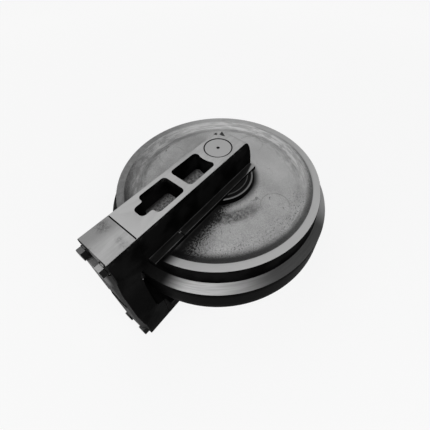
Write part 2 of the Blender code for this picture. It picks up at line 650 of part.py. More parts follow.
def yoke_pocket_outline():
    """The pocket next to the yoke, with a narrower notch towards it."""
    start_x, end_x = YOKE_POCKET_X
    wide = POCKET_HALF_WIDTH
    slim = POCKET_NOTCH_HALF_WIDTH
    tight = POCKET_CORNER / 2
    return rounded([
        (end_x, wide, POCKET_CORNER), (start_x, wide, POCKET_CORNER), (start_x, slim, tight),
        (POCKET_NOTCH_END_X, slim, POCKET_CORNER), (POCKET_NOTCH_END_X, -slim, POCKET_CORNER),
        (start_x, -slim, tight), (start_x, -wide, POCKET_CORNER), (end_x, -wide, POCKET_CORNER),
    ])


def bolt_places():
    for side in (-1, 1):
        yield side * BOLT_SPACING / 2, BOLT_HEIGHT


def build_arms():
    body = prism_mesh(arm_side_profile(), -ARM_HALF_WIDTH, ARM_HALF_WIDTH, axis="Y")
    chamfered = [edge for edge in body.edges
                 if all(vert.co.z > ARM_BASE for vert in edge.verts)
                 and edge.calc_face_angle() > math.radians(60)]
    bmesh.ops.bevel(body, geom=chamfered, offset=EDGE_CHAMFER, segments=1, profile=0.5, affect="EDGES",
                    material=-1)
    arm = from_bmesh("arm_upper", body, BLACK_PAINT, IDLER)
    ledge = prism_mesh([(LEDGE_START_X, -LEDGE_HALF_WIDTH), (LEDGE_END_X, -LEDGE_HALF_WIDTH),
                        (LEDGE_END_X, LEDGE_HALF_WIDTH), (LEDGE_START_X, LEDGE_HALF_WIDTH)],
                       LEDGE_BOTTOM, LEDGE_TOP)
    join(arm, from_bmesh("arm_ledge", ledge, None, IDLER, cutter=True))
    inner = SHAFT_BORE_RADIUS / 2
    collar = [
        (inner, ARM_COLLAR_STEP_TOP),
        (ARM_COLLAR_STEP_RADIUS, ARM_COLLAR_STEP_TOP),
        (ARM_COLLAR_STEP_RADIUS, ARM_COLLAR_TOP),
        (ARM_COLLAR_RADIUS, ARM_COLLAR_TOP),
        (ARM_COLLAR_RADIUS, ARM_COLLAR_BOTTOM),
        (SEAL_HOUSING_RADIUS, ARM_COLLAR_BOTTOM),
        (SEAL_HOUSING_RADIUS, SEAL_CAVITY_TOP),
        (ARM_BOSS_RADIUS, SEAL_CAVITY_TOP),
        (ARM_BOSS_RADIUS, JOURNAL_HALF_LENGTH + SEAT_GAP),
        (inner, JOURNAL_HALF_LENGTH + SEAT_GAP),
    ]
    join(arm, turned("arm_collar", [collar], SHAFT_SEGMENTS, None, IDLER, cutter=True))
    beyond = OVERALL_HALF_WIDTH + CUT_MARGIN
    flare = SHAFT_BORE_RADIUS + SHAFT_CHAMFER
    bore = [
        (0, beyond),
        (flare + CUT_MARGIN, beyond),
        (flare, OVERALL_HALF_WIDTH),
        (SHAFT_BORE_RADIUS, OVERALL_HALF_WIDTH - SHAFT_CHAMFER),
        (SHAFT_BORE_RADIUS, JOURNAL_HALF_LENGTH - CUT_MARGIN),
        (0, JOURNAL_HALF_LENGTH - CUT_MARGIN),
    ]
    cut(arm, turned("arm_bore", [bore], SHAFT_SEGMENTS, None, IDLER, cutter=True))
    pockets = [
        prism_mesh(shaft_pocket_outline(), POCKET_FLOOR, beyond, POCKET_DRAFT),
        prism_mesh(yoke_pocket_outline(), POCKET_FLOOR, beyond, POCKET_DRAFT),
    ]
    cut(arm, from_bmesh("arm_pockets", merged(pockets), None, IDLER, cutter=True))
    near_x, far_x = RELIEF_X
    relief = rounded([(near_x, RELIEF_HALF_WIDTH, POCKET_CORNER),
                      (near_x, -RELIEF_HALF_WIDTH, POCKET_CORNER),
                      (far_x, -RELIEF_HALF_WIDTH, POCKET_CORNER),
                      (far_x, RELIEF_HALF_WIDTH, POCKET_CORNER)])
    relief_cut = prism_mesh(relief, LEDGE_BOTTOM - CUT_MARGIN, RELIEF_TOP)
    cut(arm, from_bmesh("arm_relief", relief_cut, None, IDLER, cutter=True))
    nose = ARM_TOP_END_X + NOSE_REACH + CUT_MARGIN
    pin_hole = lock_pin_cylinder(LOCK_PIN_RADIUS + SEAT_GAP, LOCK_PIN_INNER_X - SEAT_GAP, nose)
    cut(arm, from_bmesh("arm_pin_hole", pin_hole, None, IDLER, cutter=True))
    taps = []
    for y, z in bolt_places():
        tap = cylinder_mesh(BOLT_RADIUS + SEAT_GAP, ARM_END_X - CUT_MARGIN, BOLT_TIP_X + THREAD_RUNOUT,
                            PIN_SEGMENTS, "X")
        taps.append(shifted(tap, (0, y, z)))
    cut(arm, from_bmesh("arm_taps", merged(taps), None, IDLER, cutter=True))
    round_shading(settle(arm))
    turned_over("arm_lower", arm, IDLER)


def build_guide_strips():
    spans = (("short", LEDGE_START_X, STRIP_SPLIT_X - STRIP_SPLIT_GAP / 2),
             ("long", STRIP_SPLIT_X + STRIP_SPLIT_GAP / 2, LEDGE_END_X))
    low = LEDGE_TOP + SEAT_GAP
    for edge, sign in (("near", -1), ("far", 1)):
        for span, start, end in spans:
            inner = sign * STRIP_INNER_Y
            outer = sign * LEDGE_HALF_WIDTH
            outline = [(start, inner), (end, inner), (end, outer), (start, outer)]
            strip = from_bmesh(f"guide_strip_upper_{edge}_{span}",
                               prism_mesh(outline, low, low + STRIP_THICKNESS), BLACK_PAINT, IDLER)
            turned_over(f"guide_strip_lower_{edge}_{span}", strip, IDLER)


def build_lock_pins():
    nose_fraction = (LOCK_PIN_HEIGHT + LOCK_PIN_RADIUS - LEDGE_TOP) / (OVERALL_HALF_WIDTH - LEDGE_TOP)
    nose_x = ARM_TOP_END_X + NOSE_REACH * math.sqrt(1 - nose_fraction ** 2)
    bm = lock_pin_cylinder(LOCK_PIN_RADIUS, LOCK_PIN_INNER_X, nose_x - LOCK_PIN_INSET)
    pin = from_bmesh("lock_pin_upper", bm, BRIGHT_STEEL, IDLER)
    round_shading(pin)
    turned_over("lock_pin_lower", pin, IDLER)


def yoke_profile():
    """Side view of the C-shaped yoke, from its end face round the ears to the inside of its beam."""
    upper = [
        (YOKE_END_X, OVERALL_HALF_WIDTH),
        (YOKE_JOINT_X, OVERALL_HALF_WIDTH),
        (YOKE_JOINT_X, EAR_INNER_HEIGHT),
        *arc((YOKE_JOINT_X, EAR_INNER_HEIGHT - EAR_FILLET_RUN), EAR_FILLET_RUN, math.pi / 2, math.pi)[1:-1],
        (BEAM_INNER_X, EAR_INNER_HEIGHT - EAR_FILLET_RUN),
    ]
    return upper + [(x, -z) for x, z in reversed(upper)]


def end_pad_mesh():
    """The raised pad on the yoke's end face, with sloped long edges."""
    root = YOKE_END_X + CUT_MARGIN / 3
    foot = YOKE_END_X - PAD_FOOT
    edge = ARM_HALF_WIDTH - EDGE_CHAMFER
    crest = ARM_HALF_WIDTH - PAD_EDGE_SLOPE
    outline = [(root, -edge), (foot, -edge), (PAD_FACE_X, -crest), (PAD_FACE_X, crest),
               (foot, edge), (root, edge)]
    return prism_mesh(outline, -PAD_HALF_LENGTH, PAD_HALF_LENGTH)


def side_recess_mesh(sign):
    """The sloping hollow in each side of the yoke's beam, between the two ears."""
    outer_x = PAD_FACE_X - CUT_MARGIN
    inner_x = YOKE_JOINT_X + CUT_MARGIN
    slope = (SIDE_RECESS_OUTER_Z - SIDE_RECESS_INNER_Z) / (YOKE_END_X - SIDE_RECESS_INNER_X)
    outer_z = SIDE_RECESS_OUTER_Z + slope * (outer_x - YOKE_END_X)
    inner_z = SIDE_RECESS_OUTER_Z + slope * (inner_x - YOKE_END_X)
    drop = SIDE_RECESS_DROP
    mouth_y = sign * (ARM_HALF_WIDTH + CUT_MARGIN)
    floor_y = sign * BEAM_HALF_WIDTH
    spread = drop * (CUT_MARGIN / (ARM_HALF_WIDTH - BEAM_HALF_WIDTH) + 1)
    bm = bmesh.new()
    bmesh.ops.create_cube(bm, size=2)
    for vert in bm.verts:
        at_mouth = vert.co.y > 0
        grow = spread if at_mouth else 0.0
        at_joint = vert.co.x > 0
        level = (inner_z if at_joint else outer_z) - drop + grow
        side_y = mouth_y if at_mouth else floor_y
        vert.co = (inner_x if at_joint else outer_x, side_y, math.copysign(level, vert.co.z))
    bm.normal_update()
    bmesh.ops.recalc_face_normals(bm, faces=bm.faces)
    return bm


def build_yoke():
    body = prism_mesh(yoke_profile(), -ARM_HALF_WIDTH, ARM_HALF_WIDTH, axis="Y")
    chamfered = [edge for edge in body.edges
                 if all(abs(vert.co.z) > OVERALL_HALF_WIDTH - MERGE for vert in edge.verts)]
    bmesh.ops.bevel(body, geom=chamfered, offset=EDGE_CHAMFER, segments=1, profile=0.5, affect="EDGES",
                    material=-1)
    yoke = from_bmesh("yoke", body, BLACK_PAINT, IDLER)
    join(yoke, from_bmesh("yoke_pad", end_pad_mesh(), None, IDLER, cutter=True))
    recesses = merged([side_recess_mesh(1), side_recess_mesh(-1)])
    cut(yoke, from_bmesh("yoke_side_recesses", recesses, None, IDLER, cutter=True))
    seat = cylinder_mesh(SEAT_BORE_RADIUS, PAD_FACE_X - CUT_MARGIN, PAD_FACE_X + SEAT_BORE_DEPTH,
                         SHAFT_SEGMENTS, "X")
    cut(yoke, from_bmesh("yoke_seat_bore", seat, None, IDLER, cutter=True))
    faces = []
    holes = []
    for y, z in bolt_places():
        for level in (z, -z):
            face = cylinder_mesh(SPOT_FACE_RADIUS, PAD_FACE_X - CUT_MARGIN, BOLT_SEAT_X, PLUG_SEGMENTS, "X")
            faces.append(shifted(face, (0, y, level)))
            hole = cylinder_mesh(BOLT_RADIUS + BOLT_HOLE_CLEARANCE, YOKE_END_X - CUT_MARGIN,
                                 YOKE_JOINT_X + CUT_MARGIN, PIN_SEGMENTS, "X")
            holes.append(shifted(hole, (0, y, level)))
    cut(yoke, from_bmesh("yoke_spot_faces", merged(faces), None, IDLER, cutter=True))
    cut(yoke, from_bmesh("yoke_bolt_holes", merged(holes), None, IDLER, cutter=True))
    round_shading(settle(yoke))


def build_fasteners():
    washer_section = [
        (WASHER_RADIUS, 0),
        (WASHER_RADIUS, -WASHER_THICKNESS),
        (BOLT_RADIUS + SEAT_GAP, -WASHER_THICKNESS),
        (BOLT_RADIUS + SEAT_GAP, 0),
    ]
    head_radius = BOLT_HEAD_FLATS / 2 / math.cos(math.pi / 6)
    shank = [
        (0, BOLT_HEAD_HEIGHT / 2),
        (BOLT_RADIUS, BOLT_HEAD_HEIGHT / 2),
        (BOLT_RADIUS, BOLT_HEAD_SEAT_X - BOLT_TIP_X + BOLT_RADIUS / 5),
        (BOLT_RADIUS * 0.8, BOLT_HEAD_SEAT_X - BOLT_TIP_X),
        (0, BOLT_HEAD_SEAT_X - BOLT_TIP_X),
    ]
    for level, sign in (("upper", 1), ("lower", -1)):
        for edge, y in (("near", -BOLT_SPACING / 2), ("far", BOLT_SPACING / 2)):
            place = (WASHER_OUTER_X, y, sign * BOLT_HEIGHT)
            washer = turned(f"washer_{level}_{edge}", [washer_section], PLUG_SEGMENTS, BRIGHT_STEEL, IDLER)
            washer.location = place
            washer.rotation_euler = (0, -math.pi / 2, 0)
            bolt = turned(f"yoke_bolt_{level}_{edge}", [shank], PIN_SEGMENTS, BRIGHT_STEEL, IDLER)
            head = cylinder_mesh(head_radius, 0, BOLT_HEAD_HEIGHT, 6)
            joined = from_bmesh(f"bolt_head_{level}_{edge}", head, None, IDLER, cutter=True)
            for piece in (bolt, joined):
                piece.location = (BOLT_HEAD_SEAT_X, y, sign * BOLT_HEIGHT)
                piece.rotation_euler = (0, -math.pi / 2, 0)
            join(bolt, joined)


clear_scene()
PARTS = new_collection("excavator_front_idler")
CUTTERS = new_collection("cutters")
CAST_PAINT = finish("rough_cast_paint", (0.23, 0.23, 0.23), 0.6, 0.2)
BLACK_PAINT = finish("black_paint", (0.02, 0.02, 0.02), 0.45, 0.0)
BRIGHT_STEEL = finish("machined_steel", (0.35, 0.35, 0.35), 0.35, 0.9)
BRONZE = finish("bearing_bronze", (0.45, 0.30, 0.14), 0.4, 0.9)
RUBBER = finish("seal_rubber", (0.02, 0.02, 0.02), 0.7, 0.0)
IDLER = empty("idler_centre", None, (CENTRE_X, 0, OVERALL_HALF_WIDTH))
WHEEL_AXIS = empty("wheel_axis", IDLER)
build_wheel()
build_bushings()
build_seals()
build_shaft()
build_arms()
build_guide_strips()
build_lock_pins()
build_yoke()
build_fasteners()
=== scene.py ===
"""Looks of the excavator front idler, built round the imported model.

Metres, +Z up. The idler lies on its lower arm, and the wheel's spin axis is vertical.
Radii, X and Y are measured from the spin axis, and heights from the wheel's middle plane.
The yoke lies towards -X, and the photograph was taken from -X and -Y, and from above.
"""
import json
import math

import bmesh
import bpy
from mathutils import Matrix, Vector, noise


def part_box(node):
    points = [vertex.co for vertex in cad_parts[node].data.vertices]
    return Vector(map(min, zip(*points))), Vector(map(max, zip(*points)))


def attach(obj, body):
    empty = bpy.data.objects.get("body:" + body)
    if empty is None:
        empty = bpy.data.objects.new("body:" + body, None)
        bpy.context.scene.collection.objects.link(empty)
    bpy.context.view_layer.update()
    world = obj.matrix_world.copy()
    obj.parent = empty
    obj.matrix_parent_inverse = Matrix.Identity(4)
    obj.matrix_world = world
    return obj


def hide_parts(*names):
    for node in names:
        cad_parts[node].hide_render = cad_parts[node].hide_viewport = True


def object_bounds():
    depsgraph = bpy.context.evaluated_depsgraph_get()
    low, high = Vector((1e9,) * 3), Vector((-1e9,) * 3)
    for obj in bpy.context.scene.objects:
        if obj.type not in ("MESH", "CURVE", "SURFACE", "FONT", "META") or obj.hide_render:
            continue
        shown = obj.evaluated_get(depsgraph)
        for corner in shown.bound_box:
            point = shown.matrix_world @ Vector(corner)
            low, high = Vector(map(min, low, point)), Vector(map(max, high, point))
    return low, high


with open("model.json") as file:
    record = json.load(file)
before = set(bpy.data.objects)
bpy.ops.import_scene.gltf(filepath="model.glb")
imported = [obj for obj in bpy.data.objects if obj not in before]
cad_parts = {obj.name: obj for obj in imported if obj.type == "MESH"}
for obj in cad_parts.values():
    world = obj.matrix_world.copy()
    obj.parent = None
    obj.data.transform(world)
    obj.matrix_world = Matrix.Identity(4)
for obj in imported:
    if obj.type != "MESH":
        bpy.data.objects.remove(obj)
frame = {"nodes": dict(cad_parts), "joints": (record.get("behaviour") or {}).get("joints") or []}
CAD_LOW, CAD_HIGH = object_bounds()

# Where the idler stands: the spin axis in X, and the height of the wheel's middle plane
AXIS_X = frame["joints"][0]["pos_m"][0]
MIDDLE_Z = (CAD_LOW.z + CAD_HIGH.z) / 2
CENTRE = Vector((AXIS_X, 0, MIDDLE_Z))
HALF_WIDTH = (CAD_HIGH.z - CAD_LOW.z) / 2

# Wheel. Its section runs from the bush seat out to the crest of the guide flange, as radius
# and height; the hollow is the sealed space inside, with the corners of its upper half.
WHEEL_STEPS = 240
TREAD_RADIUS = 0.250
SHOULDER_RADIUS = 0.252
WHEEL_HALF = 0.088
WEB_HEIGHT = 0.084
HUB_SECTION = [
    (0.0410, 0.0560), (0.0603, 0.0560), (0.0603, 0.0750), (0.0880, 0.0750), (0.0880, 0.0866),
    (0.0884, 0.0873), (0.0892, 0.0875), (0.0930, 0.0877)]
COLLAR_SECTION = [
    (0.0980, 0.0877), (0.1040, 0.0873), (0.1085, 0.0866), (0.1120, 0.0857), (0.1155, 0.0848),
    (0.1190, 0.0842)]
WEB_SECTION = [(0.122 + 0.0025 * step, WEB_HEIGHT) for step in range(27)]
VALLEY_SECTION = [
    (0.1900, 0.0838), (0.1925, 0.0832), (0.1950, 0.0821), (0.1980, 0.0803), (0.2010, 0.0784),
    (0.2040, 0.0768), (0.2070, 0.0757), (0.2100, 0.0751), (0.2125, 0.0750), (0.2150, 0.0754),
    (0.2175, 0.0763), (0.2200, 0.0778), (0.2225, 0.0799), (0.2250, 0.0823), (0.2275, 0.0846),
    (0.2295, 0.0861), (0.2312, 0.0871), (0.2326, 0.0877), (0.2340, 0.0880)]
RIM_SECTION = [
    (0.2400, 0.0880), (0.2460, 0.0880), (0.2486, 0.0880), (0.2494, 0.0877), (0.2499, 0.0871),
    (0.2500, 0.0862), (0.2500, 0.0720), (0.2500, 0.0580), (0.2500, 0.0500), (0.2502, 0.0476),
    (0.2509, 0.0453), (0.2521, 0.0435), (0.2538, 0.0423), (0.2560, 0.0416)]
FLANGE_SECTION = [
    (0.2575, 0.0411), (0.2640, 0.0380), (0.2700, 0.0351), (0.2714, 0.0343), (0.2725, 0.0331),
    (0.2730, 0.0314), (0.2730, 0.0160)]
HALF_SECTION = (HUB_SECTION + COLLAR_SECTION + WEB_SECTION + VALLEY_SECTION + RIM_SECTION
                + FLANGE_SECTION)
HALF_HOLLOW = [
    (0.0840, 0.0450), (0.1030, 0.0690), (0.1870, 0.0690), (0.2045, 0.0600), (0.2280, 0.0420)]

# Unevenness of the cast webs: the radii where it starts and ends, the widths over which it
# fades there, the height above which a face is cast, and each wave's height, length and seed
CAST_FROM, CAST_TO = 0.089, 0.2318
CAST_FADE_IN, CAST_FADE_OUT = 0.006, 0.008
CAST_ABOVE = 0.0745
CAST_WAVES = ((0.0005, 0.035, 3), (0.00022, 0.009, 8))
# Radii between which the look of the cast web gives way to that of the turned rim
RIM_FROM, RIM_TO = 0.2316, 0.2326

# Core plugs
PLUG_COUNT = 4
PLUG_RADIUS = 0.034
PLUG_GAP = 0.0003
PLUG_THICKNESS = 0.015
PLUG_CIRCLE_RADIUS = 0.157
FIRST_PLUG_DEGREES = 5

# Arms and yoke
ARM_HALF_WIDTH = 0.040
ARM_TOP_END_X = 0.049
ARM_COLLAR_RADIUS = 0.0845
NOSE_PAINT_HEIGHT = 0.165
POCKET_FLOOR_HEIGHT = 0.138
LEDGE_TOP = 0.1023
LEDGE_EDGE_Y = 0.059
YOKE_END_X = -0.328
CHAMFER = 0.004
MARGIN = 0.001

# Shaft and bolts
SHAFT_END_RADIUS = 0.0315
BOLT_HEAD = 0.010
BOLT_SHANK_RADIUS = 0.008

# Widths of the rounded edges
PLUG_EDGE = 0.0009
ARM_EDGE = 0.0006
YOKE_EDGE = 0.0009
STRIP_EDGE = 0.0007
BOLT_EDGE = 0.0006
WASHER_EDGE = 0.0004
SHARP_ANGLE = math.radians(35)

# Camera, from points of the photograph
IMAGE_SIZE = 430
FOCAL_PIXELS = 284.67
CENTRE_PIXEL = (231.33, 173.15)
SENSOR_WIDTH = 36.0
CAMERA_AZIMUTH = math.radians(-52.53)
CAMERA_ELEVATION = math.radians(46.32)
CAMERA_ROLL = math.radians(0.267)
CAMERA_FROM_CENTRE = Vector((-0.3686, -0.3209, 0.6119))

# Lights: name, direction from the idler, distance, diameter and power
LAMPS = (("key_light", (-0.35, -0.75, 1.0), 1.9, 1.2, 20),
         ("left_light", (-1.0, 0.35, 0.7), 2.0, 1.2, 10),
         ("top_light", (0.2, 0.4, 1.0), 2.0, 1.6, 10))
BACKGROUND = 0.931
AMBIENT = 0.05

# Floor: how brightly it glows to the camera at two distances from its middle, and what share
# of it is glow
FLOOR_RADIUS = 6.0
FLOOR_DROP = 0.0002
FLOOR_TONE = 0.85
FLOOR_ROUGHNESS = 0.9
FLOOR_GLOW = (0.966, 1.022)
FLOOR_GLOW_FROM, FLOOR_GLOW_TO = 0.3, 2.4
FLOOR_GLOW_SHARE = 0.9

# Tones of the finishes
# Soot and dirt, and also painted shade in the valley, round the collar and at the rim's edge
SOOT_AND_SHADE = 0.030
# Black overspray, and also painted shadow beside the arm's near ledge and the yoke
PAINT_AND_SHADOW = 0.005
SHADOW_LINE = 0.008
SHADED = 0.006
CREASE = 0.10
CHIPPED = 0.030
STAINED = 0.06
MARK_TONE = 0.004
ARM_TONE = 0.38
ARM_FLOOR_TONE = 0.36
YOKE_TONE = 0.39

# Directions in X and Y
TOWARDS_CAMERA = (-0.794, -0.608)
TO_THE_RIGHT = (0.608, -0.794)
PAST_THE_NOSE = (1, -0.1)
FAR_SIDE = (-0.6, 0.8)
BESIDE_THE_YOKE = (-0.65, 0.76)

# Marks on the wheel, some of them painted light and shade, each strongest on one side: the
# radii that it lies between, its softness, its direction, the cosines between which it fades
# in, and its greatest share
# Darker beyond the collar, on the side towards the camera
HOLLOW_DARKENING = (0.1090, 0.1380), 0.0080, (-0.70, -0.71), (0.62, 1.0), 0.90
# Painted highlight on the valley's outer slope, towards +X
VALLEY_HIGHLIGHT = (0.2130, 0.2316), 0.0040, (0.95, 0.31), (0.40, 0.75), 0.8
WEB_DIRT = (0.1860, 0.2060), 0.0060, (-0.1, 1), (0.55, 0.95), 0.35
# Painted highlight on the collar, on the side towards the camera
COLLAR_HIGHLIGHT = (0.0945, 0.1115), 0.0020, TOWARDS_CAMERA, (0.45, 0.85), 1.0
# Painted shade at the rim's inner edge, to the right
EDGE_SHADE = (0.2285, 0.2335), 0.0035, (0.81, -0.59), (0.85, 1.0), 0.45

# Dark marks on the outer face of each arm beside the shaft, in colour only: the corners in X and
# Y
DARK_MARKS = (
    ((0.0345, 0.0415), (0.0300, 0.0385), (0.0320, 0.0315), (0.0375, 0.0320), (0.0385, 0.0380)),
    ((0.0520, 0.0305), (0.0385, 0.0275), (0.0385, 0.0190), (0.0415, 0.0125)))
# Stains on the bare outer face of the yoke: X and Y, radius and strength
STAINS = ((-0.2865, 0.0270, 0.020, 0.8), (-0.2850, -0.0170, 0.010, 0.4),
          (-0.2860, -0.0320, 0.012, 0.4))
# Bright spots on the top of the upper near guide strip
BRIGHT_SPOTS = ((-0.2634, -0.0475, 0.1060), (-0.1818, -0.0458, 0.1060))


def mesh_object(name, bm):
    """Give a bmesh its own object in the scene."""
    data = bpy.data.meshes.new(name)
    bm.to_mesh(data)
    bm.free()
    made = bpy.data.objects.new(name, data)
    bpy.context.scene.collection.objects.link(made)
    return made


def riding_object(name, bm, body, *materials):
    """Give a bmesh its own object with its materials, riding on a body."""
    made = mesh_object(name, bm)
    for material in materials:
        made.data.materials.append(material)
    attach(made, body)
    return made


def stand_in(made, node):
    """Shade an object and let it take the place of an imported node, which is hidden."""
    made.data.shade_smooth()
    made.data.set_sharp_from_angle(angle=SHARP_ANGLE)
    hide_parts(node)


def round_edges(obj, width, segments=2, degrees=30):
    bevel = obj.modifiers.new("edges", "BEVEL")
    bevel.width = width
    bevel.segments = segments
    bevel.limit_method = "ANGLE"
    bevel.angle_limit = math.radians(degrees)
    bevel.harden_normals = True
    bevel.use_clamp_overlap = True


def copy_of_node(node):
    """A merged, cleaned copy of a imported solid."""
    bm = bmesh.new()
    bm.from_mesh(frame["nodes"][node].data)
    bmesh.ops.remove_doubles(bm, verts=bm.verts, dist=0.00001)
    bmesh.ops.dissolve_limit(bm, angle_limit=math.radians(0.5), verts=bm.verts, edges=bm.edges)
    bm.normal_update()
    return bm


def sort_faces(bm, rule):
    """Give each face the material that a rule names from its place and outward direction."""
    for face in bm.faces:
        face.material_index = rule(face.calc_center_median() - CENTRE, face.normal)
    return bm


def spun(profiles):
    """Turn closed profiles of (radius, height) round the spin axis."""
    bm = bmesh.new()
    for profile in profiles:
        ring = [bm.verts.new((r, 0, z)) for r, z in profile]
        edges = [bm.edges.new(pair) for pair in zip(ring, ring[1:] + ring[:1])]
        bmesh.ops.spin(bm, geom=ring + edges, axis=(0, 0, 1), cent=(0, 0, 0),
                       steps=WHEEL_STEPS, angle=2 * math.pi, use_merge=True,
                       use_normal_flip=False)
    bmesh.ops.remove_doubles(bm, verts=bm.verts, dist=0.000002)
    bmesh.ops.recalc_face_normals(bm, faces=bm.faces)
    return bm


def add_prism(bm, sides, radius, depth, place):
    bmesh.ops.create_cone(bm, cap_ends=True, segments=sides, radius1=radius, radius2=radius,
                          depth=depth, matrix=Matrix.Translation(place))


def move_to_centre(bm):
    bmesh.ops.translate(bm, verts=bm.verts, vec=CENTRE)
    return bm


def both_halves(upper):
    """Close the upper half of a profile with its mirror image."""
    return upper + [(r, -z) for r, z in reversed(upper)]


def rolling_noise(point, wavelength, seed):
    """Smooth unevenness of a sand casting, from -1 to 1."""
    return noise.noise(point / wavelength + Vector((seed, seed * 0.7, seed * 1.3)))


def make_uneven(bm):
    """Give the cast webs of the wheel the slight waves of a sand casting."""
    for vert in bm.verts:
        radius = math.hypot(vert.co.x, vert.co.y)
        if CAST_FROM < radius < CAST_TO and abs(vert.co.z) > CAST_ABOVE:
            fade = min(1.0, (radius - CAST_FROM) / CAST_FADE_IN,
                       (CAST_TO - radius) / CAST_FADE_OUT)
            rise = sum(height * rolling_noise(vert.co, wavelength, seed)
                       for height, wavelength, seed in CAST_WAVES)
            vert.co.z += math.copysign(fade * rise, vert.co.z)


def core_plug_places():
    """The number and the place in X and Y of each core plug on one side of the wheel."""
    for index in range(PLUG_COUNT):
        angle = math.radians(FIRST_PLUG_DEGREES + 360 / PLUG_COUNT * index)
        yield (index + 1, PLUG_CIRCLE_RADIUS * math.cos(angle),
               PLUG_CIRCLE_RADIUS * math.sin(angle))


def wheel_slot(place, outward):
    """0 for the cast and turned faces, 1 for the painted treads and side of the flange."""
    radius = math.hypot(place.x, place.y)
    on_shoulder = abs(outward.z) > 0.5 and radius > SHOULDER_RADIUS
    return 1 if radius > TREAD_RADIUS - 0.0004 and not on_shoulder else 0


def build_wheel(finish, black):
    bm = spun([both_halves(HALF_SECTION), both_halves(HALF_HOLLOW)])
    make_uneven(bm)
    sort_faces(move_to_centre(bm), wheel_slot)
    wheel = riding_object("wheel_casting", bm, "wheel", finish, black)
    holes = bmesh.new()
    for _, x, y in core_plug_places():
        add_prism(holes, 64, PLUG_RADIUS + PLUG_GAP, 2.4 * WHEEL_HALF, (x, y, 0))
    bore_with(wheel, move_to_centre(holes))
    stand_in(wheel, "idler_wheel")


def bore_with(obj, cutter_mesh):
    """Subtract a cutter from an object and keep the result as its mesh."""
    cutter = mesh_object("cutter", cutter_mesh)
    step = obj.modifiers.new("bore", "BOOLEAN")
    step.operation = "DIFFERENCE"
    step.solver = "EXACT"
    step.object = cutter
    bpy.context.view_layer.update()
    evaluated = obj.evaluated_get(bpy.context.evaluated_depsgraph_get())
    bored = bpy.data.meshes.new_from_object(evaluated)
    obj.modifiers.clear()
    old, spent = obj.data, cutter.data
    bored.name = old.name
    obj.data = bored
    bpy.data.objects.remove(cutter)
    bpy.data.meshes.remove(old)
    bpy.data.meshes.remove(spent)


def build_core_plugs(finish):
    for side, sign in (("upper", 1), ("lower", -1)):
        middle = sign * (WEB_HEIGHT - PLUG_THICKNESS / 2)
        for number, x, y in core_plug_places():
            bm = bmesh.new()
            add_prism(bm, 64, PLUG_RADIUS, PLUG_THICKNESS, (x, y, middle))
            plug = riding_object(f"core_disc_{side}_{number}", move_to_centre(bm), "wheel",
                                 finish)
            round_edges(plug, PLUG_EDGE)
            stand_in(plug, f"core_plug_{side}_{number}")


def on_long_edge(place, up):
    """Whether a face belongs to the chamfer along an outer face."""
    at_corner = (abs(place.z) > HALF_WIDTH - CHAMFER
                 and abs(place.y) > ARM_HALF_WIDTH - CHAMFER)
    return up > 0.5 and at_corner


def arm_slot(place, outward):
    """0 for black paint, 1 for the bare outer face, nose top and pocket floors, 2 for the
    machined collar."""
    height = abs(place.z)
    up = outward.z * math.copysign(1, place.z)
    radius = math.hypot(place.x, place.y)
    if up > 0.9 and height < LEDGE_TOP - MARGIN and radius < ARM_COLLAR_RADIUS + MARGIN:
        return 2
    on_nose = place.x > ARM_TOP_END_X - 0.0012 and height > NOSE_PAINT_HEIGHT and up > 0.3
    on_outer_face = up > 0.99 and height > POCKET_FLOOR_HEIGHT - MARGIN
    return 1 if on_nose or on_outer_face or on_long_edge(place, up) else 0


def yoke_slot(place, outward):
    """0 for black paint, 1 for the bare outer faces, 2 for the worn end with its pad."""
    on_outer_face = abs(outward.z) > 0.99 and abs(place.z) > HALF_WIDTH - MARGIN
    if on_outer_face or on_long_edge(place, outward.z * math.copysign(1, place.z)):
        return 1
    on_pad = place.x < YOKE_END_X - 0.0005
    on_end = outward.x < -0.5 and place.x < YOKE_END_X + CHAMFER
    return 2 if on_pad or on_end else 0


def bolt_slot(place, outward):
    """0 for black paint on a bolt or washer, 1 for the top of its rim, which carries a painted
    highlight.
    """
    return 1 if outward.z > 0.9 and place.x < YOKE_END_X else 0


def strip_slot(place, outward):
    """0 for black paint, 1 for the outer face of a guide strip."""
    return 1 if abs(outward.z) > 0.99 and abs(place.z) > LEDGE_TOP + 2 * MARGIN else 0


def build_castings(black, arm_bare, collar, yoke_bare, yoke_end):
    """The two arms and the yoke: copies of the solids with the soft edges of a casting."""
    for side in ("upper", "lower"):
        faces = sort_faces(copy_of_node(f"arm_{side}"), arm_slot)
        arm = riding_object(f"bearing_arm_{side}", faces, "frame", black, arm_bare, collar)
        round_edges(arm, ARM_EDGE, degrees=28)
        stand_in(arm, f"arm_{side}")
    faces = sort_faces(copy_of_node("yoke"), yoke_slot)
    yoke = riding_object("yoke_casting", faces, "frame", black, yoke_bare, yoke_end)
    round_edges(yoke, YOKE_EDGE, degrees=25)
    stand_in(yoke, "yoke")


def build_guide_strips(black, top):
    for side in ("upper", "lower"):
        for edge in ("near", "far"):
            for span in ("short", "long"):
                part = f"{side}_{edge}_{span}"
                faces = sort_faces(copy_of_node(f"guide_strip_{part}"), strip_slot)
                strip = riding_object(f"wear_strip_{part}", faces, "frame", black, top)
                round_edges(strip, STRIP_EDGE)
                stand_in(strip, f"guide_strip_{part}")


def bolt_mesh(low, high):
    """A hexagon head and a plain shank that fill the box of a packed bolt along X."""
    bm = bmesh.new()
    across_flats = high.z - low.z
    shank = high.x - low.x - BOLT_HEAD / 2
    add_prism(bm, 6, across_flats / 2 / math.cos(math.pi / 6), BOLT_HEAD,
              (0, 0, BOLT_HEAD / 2))
    add_prism(bm, 32, BOLT_SHANK_RADIUS, shank, (0, 0, BOLT_HEAD / 2 + shank / 2))
    centre = (low + high) / 2
    lay = (Matrix.Translation((low.x, centre.y, centre.z))
           @ Matrix.Rotation(math.pi / 2, 4, "Y"))
    bmesh.ops.transform(bm, matrix=lay, verts=bm.verts)
    bm.normal_update()
    return bm


